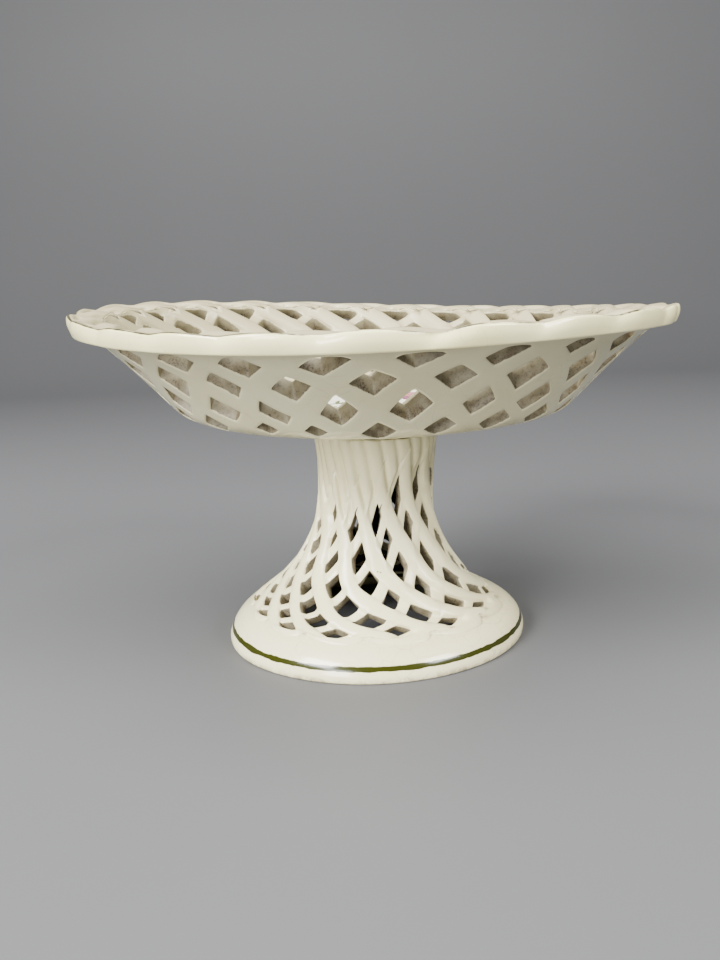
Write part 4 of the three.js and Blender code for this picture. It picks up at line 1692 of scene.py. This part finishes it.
    def grime(self) -> bpy.types.NodeTree:
        """A tone laid where the mask is, as dirt and as painted shade: the mask broken up by a fine and a
        slow noise.

        Returns:
            The group.
        """
        bench, given, out = self.start(
            Effect.GRIME, {"Mask": "Float", "Amount": "Float"}, {"Mask": "Float"})
        fine = bench.span(bench.noise(300.0, 4.0, 0.65), 0.38, 0.66)
        slow = bench.span(bench.noise(40.0, 2.0), 0.3, 0.65, 0.35, 1.0)
        broken = bench.times(bench.times(fine, slow), given["Mask"])
        bench.feed(out, Mask=bench.times(broken, given["Amount"]))
        return bench.tree


def rgba(colour: Colour) -> tuple[float, float, float, float]:
    """The colour with full opacity."""
    return (*colour, 1.0)


def mottled(name: str, colour: Colour, roughness: float, dark: float, noise: tuple[float, float],
            span: tuple[float, float] | None = None) -> bpy.types.Material:
    """Makes a plain material whose colour is unevenly darkened.

    Args:
        name: The material's name.
        colour: Its colour.
        roughness: Its roughness.
        dark: Share of the colour that is left where it is darkest.
        noise: Scale and detail of the unevenness.
        span: Where the noise is stretched from and to, or None to take it as it is.

    Returns:
        The material.
    """
    dressing = Dressing(name)
    bench = dressing.bench
    share = bench.noise(*noise)
    if span:
        share = bench.span(share, *span)
    tone = bench.mix(share, rgba(colour), rgba(tuple(part * dark for part in colour)))
    return dressing.close(tone, roughness)


def tie(obj: bpy.types.Object, material: bpy.types.Material) -> None:
    """Gives a piece its material and ties it to the frame.

    Args:
        obj: The piece's object.
        material: Its material.
    """
    obj.data.materials.append(material)
    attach(obj, BODY)
    log.info("%s: %d faces", obj.name, len(obj.data.polygons))


@dataclass(frozen=True)
class CreamwareFinish:
    """One piece's glaze: its tones, gloss, cracks, cut clay, painted line, dirt and painted shade."""

    name: str
    pale: Colour = (0.85, 0.79, 0.50)
    warm: Colour = (0.77, 0.69, 0.37)
    amount: float = 0.6
    roughness: float = 0.16
    crazing: float = 0.22
    crack: Colour = (0.30, 0.25, 0.16)
    ground: Colour = (0.235, 0.20, 0.12)
    tan: Colour = (0.155, 0.115, 0.055)
    brown: Colour = (0.03, 0.02, 0.01)
    clay: float = 1.0
    pool_and_shadow_tone: Colour = (0.22, 0.17, 0.09)
    olive: Colour = (0.10, 0.10, 0.018)
    line_value: str = ""
    line_at: float = 0.0
    line_half: float = 0.6
    line_sway: float = 0.5
    line_wear: float = 0.2
    # inside is the cream glaze darkened, a painted shade on the inner faces of the dish, the rim band and
    # the foot ring.
    inside: Colour = (0.45, 0.40, 0.235)
    floor: Colour = (0.76, 0.74, 0.62)
    inside_rough: float = 0.18
    foot_dirt: float = 0.0
    ripple: float = 0.25
    turning: float = 0.0
    craze_scale: float = 135.0
    craze_width: float = 0.025
    brightened: float = 0.35
    # Darker in the recessed straps and grooves of the skirt and neck.
    recess_darkening: float = 0.12
    pool_and_shadow_amount: float = 0.9
    clay_rough: float = 0.55

    def make(self, shelf: EffectShelf) -> bpy.types.Material:
        """Builds the finish's material: glaze, cracks and cut clay, then dirt, painted shade and line over
        them.

        Args:
            shelf: Where the shared effects are kept.

        Returns:
            The material.
        """
        dressing = Dressing(self.name)
        bench = dressing.bench
        inside, ragged = bench.value("inside"), bench.noise(700.0, 2.0)
        glaze = shelf.place(bench, Effect.GLAZE, Pale=rgba(self.pale), Warm=rgba(self.warm),
                            Amount=self.amount)
        cracks = shelf.place(bench, Effect.CRAZING, Scale=self.craze_scale, Width=self.craze_width,
                             Amount=self.crazing)
        clay = shelf.place(bench, Effect.CLAY, Ground=rgba(self.ground), Tan=rgba(self.tan),
                           Brown=rgba(self.brown), Amount=self.clay)
        # The inside colour is painted shade on the inner faces; the floor's own white takes over towards
        # the middle.
        inner = bench.mix(bench.value("white"), rgba(self.inside), rgba(self.floor))
        colour = bench.mix(inside, glaze.outputs["Colour"], inner)
        colour = bench.mix(cracks.outputs["Mask"], colour, rgba(self.crack))
        bright = bench.times(bench.value("bright"), self.brightened)
        tone = bench.mix(bright, clay.outputs["Colour"], rgba(self.inside))
        cut = bench.calc("MULTIPLY_ADD", bench.calc("SUBTRACT", ragged, 0.5), 0.9, bench.value("cut"))
        cut = bench.span(cut, 0.45, 0.8)
        colour = bench.mix(cut, colour, tone)
        # The recess mask darkens the recessed straps; the pool mask lays glaze pools and, on the foot
        # ring, a painted shadow along the skirt's lip.
        for mask, amount, overlay_tone in (("recess", self.recess_darkening, self.tan),
                                    ("pool", self.pool_and_shadow_amount, self.pool_and_shadow_tone)):
            colour = self.stain_and_shade(shelf, bench, colour, bench.value(mask), amount, overlay_tone)
        if self.line_value:
            off = bench.calc("SUBTRACT", bench.value(self.line_value), self.line_at)
            wear = bench.times(bench.value("worn"), self.line_wear)
            line = shelf.place(bench, Effect.LINE, Distance=off, Half_Width=self.line_half,
                               Sway=self.line_sway, Wear=wear)
            colour = bench.mix(line.outputs["Mask"], colour, rgba(self.olive))
        # Darker towards the standing edge of the foot.
        if self.foot_dirt:
            low = bench.span(bench.value("height"), 0.4, 3.2, 1.0, 0.0)
            colour = self.stain_and_shade(shelf, bench, colour, low, self.foot_dirt, self.tan)
        rough = bench.span(cut, 0.0, 1.0, self.roughness, self.clay_rough)
        rough = bench.calc("ADD", rough, bench.times(inside, self.inside_rough))
        height = bench.calc("MULTIPLY_ADD", glaze.outputs["Height"], self.ripple,
                            bench.times(bench.times(clay.outputs["Height"], cut), 0.3))
        height = bench.calc("SUBTRACT", height, bench.times(cracks.outputs["Mask"], 0.05))
        if self.turning:
            near = self.turned(bench, inside)
            colour = self.stain_and_shade(shelf, bench, colour, near, self.turning, self.tan)
            height = bench.calc("MULTIPLY_ADD", near, -0.4, height)
        bump = bench.add("Bump", Height=height, Distance=0.0008, Strength=0.6)
        return dressing.close(colour, rough, IOR=1.52, Normal=bump.outputs["Normal"])

    def stain_and_shade(self, shelf: EffectShelf, bench: Bench, colour: Socket, mask: Socket, amount: float,
                tone: Colour) -> Socket:
        """The colour with another tone laid over it where the mask is, as dirt and as painted shadow."""
        layer = shelf.place(bench, Effect.GRIME, Mask=mask, Amount=amount)
        return bench.mix(layer.outputs["Mask"], colour, rgba(tone))

    def turned(self, bench: Bench, inside: Socket) -> Socket:
        """Mask of the turner's rings under the dish: wavering sines of the radius.

        Args:
            bench: The finish's tree.
            inside: Mask of the inside.

        Returns:
            The mask.
        """
        radius = bench.value("radius")
        wave = bench.calc("MULTIPLY_ADD", bench.noise(60.0, 2.0), 3.0, bench.times(radius, 2.9))
        under = bench.calc("SUBTRACT", bench.span(radius, 44.0, 36.0), inside)
        crest = bench.span(bench.calc("SINE", wave), 0.3, 1.0)
        return bench.times(bench.calc("MAXIMUM", under, 0.0), crest)


class Finishes:
    """All the finishes of the stand, one per piece."""

    def __init__(self) -> None:
        """Makes the materials on one shelf of effects."""
        shelf = EffectShelf()
        finishes = {
            Piece.FOOT_RING: CreamwareFinish(
                "foot_ring_glaze", line_value="height", line_at=5.7, line_half=1.0, line_wear=0.0,
                line_sway=0.6, olive=(0.028, 0.031, 0.001), foot_dirt=0.8, crazing=0.3),
            # The pedestal's inner wall is painted near-black, a painted shade of the hollow foot, and its
            # cut faces' ground and tan are darkened as painted shade inside the holes, over the same cream
            # glaze.
            Piece.PEDESTAL: CreamwareFinish(
                "pedestal_glaze", ground=(0.34, 0.30, 0.20), tan=(0.22, 0.175, 0.10), clay=0.7,
                crazing=0.1, inside=(0.009, 0.007, 0.004), inside_rough=0.6, roughness=0.27),
            Piece.SLIP: CreamwareFinish(
                "slip_glaze", line_value="height", line_at=87.95, line_half=0.28, line_sway=0.3,
                line_wear=2.4, olive=(0.02, 0.016, 0.01), crazing=0.6),
            # The dish's glaze tones are the cream glaze darkened, a painted shade on its downward-facing
            # wall.
            Piece.DISH: CreamwareFinish(
                "dish_glaze", pale=(0.62, 0.58, 0.37), warm=(0.53, 0.48, 0.27), turning=1.6,
                ground=(0.17, 0.145, 0.085), tan=(0.105, 0.078, 0.036)),
            Piece.RIM: CreamwareFinish(
                "rim_glaze", pale=(0.85, 0.79, 0.43), warm=(0.77, 0.70, 0.32), line_value="lip",
                line_at=-0.3, line_half=0.6, line_sway=0.35, line_wear=1.6, crazing=0.15,
                olive=(0.02, 0.018, 0.006), pool_and_shadow_tone=(0.10, 0.095, 0.015)),
        }
        self.of = {piece: finish.make(shelf) for piece, finish in finishes.items()}

    def dress(self, obj: bpy.types.Object, piece: Piece) -> None:
        """Gives a piece its finish and ties it to the frame in place of its node."""
        tie(obj, self.of[piece])
        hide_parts(piece.value)


@dataclass(frozen=True)
class Stroke:
    """One pull of the brush, or one cut of the knife tip, as a curve on a drawing in millimetres."""

    start: Place
    bend: Place
    end: Place
    width: float
    blunt: float = 0.6


class Brush:
    """Lays strokes on a curved surface as thin closed lenses of colour: glaze paint, iron specks, and the
    painted shade of knife slits.
    """

    def __init__(self, name: str, surface: Callable[[Array, Array, Array], Array]) -> None:
        """Takes a name and the surface: a function of x, y and the lift above it."""
        self.name = name
        self.surface = surface
        self.body = ClayBody()

    def lay(self, stroke: Stroke, lift: float = 0.1, steps: int = 22, sides: int = 8) -> None:
        """Adds a stroke: a quadratic curve whose half width is width / 2 sin(pi t)^blunt.

        Args:
            stroke: The curve and its width.
            lift: Height of the lens above the surface; it goes as deep below.
            steps: Parts along the curve.
            sides: Points of each cross-section.
        """
        t = np.linspace(0.0, 1.0, steps + 1)[:, None]
        start, bend, end = (np.array(place) for place in (stroke.start, stroke.bend, stroke.end))
        line = quadratic(t, start, bend, end)
        along = 2 * (1 - t) * (bend - start) + 2 * t * (end - bend)
        along = along / np.linalg.norm(along, axis=1, keepdims=True)
        half = stroke.width / 2 * (0.04 + 0.96 * np.sin(np.pi * t) ** stroke.blunt)
        turn = np.arange(sides) * FULL_TURN / sides
        x = line[:, :1] - along[:, 1:] * half * cosine(turn)
        y = line[:, 1:] + along[:, :1] * half * cosine(turn)
        height = lift * sine(turn) * np.minimum(1.0, half / 0.15)
        ids = self.body.add(self.surface(x, y, height))
        self.body.sheet(ids)
        for row, at in ((0, 0), (-1, len(t) - 1)):
            tip = self.body.add(self.surface(line[at, :1], line[at, 1:], np.zeros(1)))
            self.body.fan(ids[row], tip)

    def finish(self, colour: Colour, slot: str, roughness: float = 0.2) -> None:
        """Makes the strokes' object, colours it unevenly and ties it to the frame."""
        obj = self.body.build(self.name)
        tie(obj, mottled(self.name, colour, roughness, 0.55, (420.0, 3.0), (0.3, 0.7)))


class Pigment(Enum):
    """Colours of the painted spray."""

    PURPLE = (0.23, 0.03, 0.13)
    ROSE = (0.45, 0.14, 0.22)
    GREEN = (0.07, 0.12, 0.03)
    STEM = (0.035, 0.03, 0.02)
    GOLD = (0.5, 0.33, 0.05)


@dataclass
class PaintedSpray:
    """A small loose spray of flowers painted on the floor of the dish."""

    dish: Dish
    petals: int = 7
    petal_length: float = 7.5
    blooms: tuple = ((14.0, 40.0, 1.0), (-19.0, 6.0, 0.8), (22.0, -4.0, 0.62), (-6.0, -26.0, 0.55))
    stems: tuple = (
        ((-38.0, 14.0), (-14.0, 26.0), (14.0, 40.0)), ((-30.0, 17.0), (-14.0, 22.0), (-19.0, 6.0)),
        ((-24.0, 21.0), (-6.0, 29.0), (-8.0, 46.0)), ((-12.0, 25.0), (14.0, 16.0), (22.0, -4.0)),
        ((-21.0, 9.0), (-24.0, -12.0), (-6.0, -26.0)), ((10.0, 14.0), (24.0, 16.0), (37.0, 10.0)))
    leaves: tuple = (
        (-34, 16, 200), (-28, 19, 110), (-16, 25, 60), (-10, 27, -30), (-6, 38, 150), (-8, 46, 95),
        (4, 34, -20), (2, 21, -80), (13, 12, -130), (20, 3, 20), (28, 15, 70), (37, 10, -5),
        (-23, -5, 160), (-18, -15, -40), (-12, -22, 190), (-20, 14, 20))

    def surface(self, x: Array, y: Array, lift: Array) -> Array:
        """Points of the dish's floor under a flat drawing, raised by the lift."""
        r = np.hypot(x, y)
        return self.dish.firing.dish(r, np.degrees(np.arctan2(y, x)), self.dish.floor_height(r) + lift)

    def build(self) -> None:
        """Paints the blooms, stems, leaves and their hearts, one object per colour."""
        brushes = {tone: Brush(f"painted_{tone.name.lower()}", self.surface) for tone in Pigment}
        for start, bend, end in self.stems:
            brushes[Pigment.STEM].lay(Stroke(start, bend, end, 0.8))
        for x, y, size in self.blooms:
            self.bloom(brushes, np.array([x, y]), size)
        for x, y, degrees in self.leaves:
            self.leaf(brushes[Pigment.GREEN], np.array([x, y], dtype=float), float(degrees))
        for tone, brush in brushes.items():
            brush.finish(tone.value, "dish_glaze")
        log.info("painted spray: %d blooms, %d leaves", len(self.blooms), len(self.leaves))

    def bloom(self, brushes: dict[Pigment, Brush], middle: Array, size: float) -> None:
        """Paints one flower: broad petals round a heart, a darker vein in each.

        Args:
            brushes: One brush per colour.
            middle: The flower's place on the drawing.
            size: Its scale.
        """
        for k in range(self.petals):
            out = heading(k * FULL_TURN / self.petals + 20 * size)
            side = np.array([-out[1], out[0]])
            tone = Pigment.PURPLE if k % 3 else Pigment.ROSE
            reach = self.petal_length * size * (1.0 if k % 2 else 0.85)
            bend = middle + out * reach * 0.5 + side * size
            brushes[tone].lay(Stroke(middle + out * size, bend, middle + out * reach, 4.6 * size, 0.5))
        for k in range(5):
            spot = middle + size * heading(math.degrees(k * 1.3)) * 0.9
            near = spot + np.array([0.9 * size, 0.3 * size])
            brushes[Pigment.GOLD].lay(Stroke(spot, spot, near, 0.9 * size, 0.5), 0.16)

    def leaf(self, brush: Brush, root: Array, degrees: float) -> None:
        """Paints a pair of leaf strokes, bent apart.

        Args:
            brush: The brush of the leaves' colour.
            root: Where the two start.
            degrees: Which way they point.
        """
        for spread, sag in ((-22.0, -0.8), (24.0, 0.8)):
            out = heading(degrees + spread)
            bend = root + out * 3.0 + sag * np.array([-out[1], out[0]])
            brush.lay(Stroke(root, bend, root + out * 6.2, 2.1, 0.7))


@dataclass
class SkirtMarks:
    """Knife slits that run on past the tops of four holes, drawn as painted shade, and two iron specks in
    the glaze.
    """

    pedestal: Pedestal
    slits: tuple = ((-108.0, 57.2), (-85.0, 58.7), (-67.0, 69.6), (-43.0, 72.6))
    slit: Stroke = Stroke((-0.5, -1.6), (-0.2, 0.9), (1.15, 2.9), 0.42, 0.7)
    specks: tuple = ((-88.0, 34.75), (-86.0, 34.5))
    speck: Stroke = Stroke((-0.3, 0.0), (0.0, 0.05), (0.32, 0.0), 0.5, 0.5)

    def surface_from(self, degrees: float, height: float) -> Callable[[Array, Array, Array], Array]:
        """The skirt's surface as a flat drawing round one place.

        Args:
            degrees: Angle of the drawing's middle.
            height: Its height.

        Returns:
            A function of x along the skirt, y up it and the lift, in millimetres.
        """
        relief = float(self.pedestal.relief_at(np.array([degrees]), np.array([height]))[0])
        radius = float(self.pedestal.radius_at(height))

        def surface(x: Array, y: Array, lift: Array) -> Array:
            """Points of the skirt at the drawing's x and y."""
            around = degrees + np.degrees(x / radius)
            return self.pedestal.wall_point(around, height + y, -(relief + lift))

        return surface

    def build(self) -> None:
        """Makes the slits and the specks as two objects."""
        # The slits are dark strokes, a painted shade in the narrow cuts; the specks are iron in the glaze.
        for name, places, stroke, lift, colour, roughness in (
                ("knife_slit_shade", self.slits, self.slit, 0.5, (0.05, 0.04, 0.03), 0.6),
                ("iron_specks", self.specks, self.speck, 0.12, (0.16, 0.09, 0.03), 0.3)):
            brush = Brush(name, self.surface_from(*places[0]))
            for degrees, height in places:
                brush.surface = self.surface_from(degrees, height)
                brush.lay(stroke, lift)
            brush.finish(colour, "pedestal_glaze", roughness)


@dataclass
class Studio:
    """Camera at the photograph's place, soft lights, and a pale sweep of floor and backdrop."""

    eye: tuple[float, float, float] = (7.099, -385.22, 144.53)
    pitch: float = 0.2008
    roll: float = -0.0476
    yaw: float = -0.039
    lens: float = 34.68
    sensor: float = 36.0
    lamps: tuple = (
        ("box_low", (-0.75, -1.35, 0.45), (0, 0, 0.06), (0.5, 0.5), 22.0),
        ("box_left", (-1.0, -0.85, 1.0), (0, 0, 0.06), (0.7, 0.6), 68.0),
        ("box_right", (1.05, -0.75, 1.0), (0, 0, 0.06), (0.6, 0.6), 36.0),
        ("box_top", (-0.1, -0.3, 1.5), (0, 0, 0.1), (1.4, 1.0), 34.0))
    sky: Colour = (0.9, 0.9, 0.9)
    sky_strength: float = 0.28
    floor_tone: Colour = (0.115, 0.116, 0.119)

    def camera(self) -> None:
        """Places the camera: forward from yaw and pitch, then rolled about it."""
        forward = Vector((math.sin(self.yaw) * math.cos(self.pitch),
                          math.cos(self.yaw) * math.cos(self.pitch), -math.sin(self.pitch)))
        right = Vector((math.cos(self.yaw), -math.sin(self.yaw), 0.0))
        up = right.cross(forward)
        side = right * math.cos(self.roll) + up * math.sin(self.roll)
        top = up * math.cos(self.roll) - right * math.sin(self.roll)
        data = bpy.data.cameras.new("photo_camera")
        data.lens = self.lens
        data.sensor_width = self.sensor
        data.clip_start = 0.01
        obj = link_new("photo_camera", data)
        turn = Matrix((side, top, -forward)).transposed().to_4x4()
        obj.matrix_world = Matrix.Translation(Vector(self.eye) * MM) @ turn
        bpy.context.scene.camera = obj

    def lights(self) -> None:
        """Soft boxes by name, place, aim, size in metres and watts, and an even sky."""
        for name, place, aim, size, watts in self.lamps:
            data = bpy.data.lights.new(name, "AREA")
            data.shape = "RECTANGLE"
            data.size, data.size_y = size
            data.energy = watts
            facing = (Vector(aim) - Vector(place)).to_track_quat("-Z", "Y").to_matrix().to_4x4()
            link_new(name, data).matrix_world = Matrix.Translation(place) @ facing
        world = bpy.data.worlds.new("studio_air")
        world.use_nodes = True
        sky = world.node_tree.nodes["Background"].inputs
        sky["Color"].default_value = rgba(self.sky)
        sky["Strength"].default_value = self.sky_strength
        bpy.context.scene.world = world

    def sweep(self) -> None:
        """Floor that curves up into a backdrop, as one smooth sheet marked as stage."""
        body = ClayBody()
        turn = np.radians(np.linspace(0, 90, 17))
        y = np.concatenate([[-3.0, -1.0, 0.0], 1.1 + 0.7 * np.sin(turn), [1.8]])
        z = np.concatenate([[0.0, 0.0, 0.0], 0.7 - 0.7 * np.cos(turn), [3.5]])
        x = np.linspace(-3.5, 3.5, 9)
        points = np.stack(np.broadcast_arrays(x, y[:, None], z[:, None]), axis=-1)
        body.sheet(body.add(points), closed=False)
        obj = body.build("studio_sweep", turn_outward=False)
        obj.data.materials.append(mottled("studio_paper", self.floor_tone, 0.6, 0.94, (3.0, 2.0)))

    def build(self) -> None:
        """Sets up the camera, the lights and the sweep."""
        self.camera()
        self.lights()
        self.sweep()


def row_centre(node: bpy.types.Object) -> tuple[float, float]:
    """Middle of the foot ring's standing edge in the row frame, in millimetres.

    Args:
        node: The foot ring's object in the frame.

    Returns:
        Its place to the right and to the back.
    """
    points = np.empty(len(node.data.vertices) * 3)
    node.data.vertices.foreach_get("co", points)
    points = points.reshape(-1, 3)
    low = points[points[:, 2] < 1e-5]
    middle = (low.min(axis=0) + low.max(axis=0)) / 2 / MM
    return float(middle[0]), float(middle[1])


def main() -> None:
    """Builds the stand piece by piece over the frame, then the studio round it."""
    logging.basicConfig(level=logging.INFO, format="%(name)s: %(message)s")
    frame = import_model()
    firing = Firing(centre=row_centre(frame["nodes"][Piece.FOOT_RING.value]))
    log.info("centre of the foot in the row frame: %.4f, %.4f mm", *firing.centre)
    pedestal = Pedestal(firing)
    dish = Dish(firing)
    finishes = Finishes()
    finishes.dress(FootRing(firing, pedestal).build(), Piece.FOOT_RING)
    finishes.dress(pedestal.build(), Piece.PEDESTAL)
    finishes.dress(SlipJoint(firing, pedestal).build(), Piece.SLIP)
    finishes.dress(dish.build(), Piece.DISH)
    finishes.dress(RimBand(firing, dish).build(), Piece.RIM)
    PaintedSpray(dish).build()
    SkirtMarks(pedestal).build()
    Studio().build()


if __name__ == "__main__":
    main()
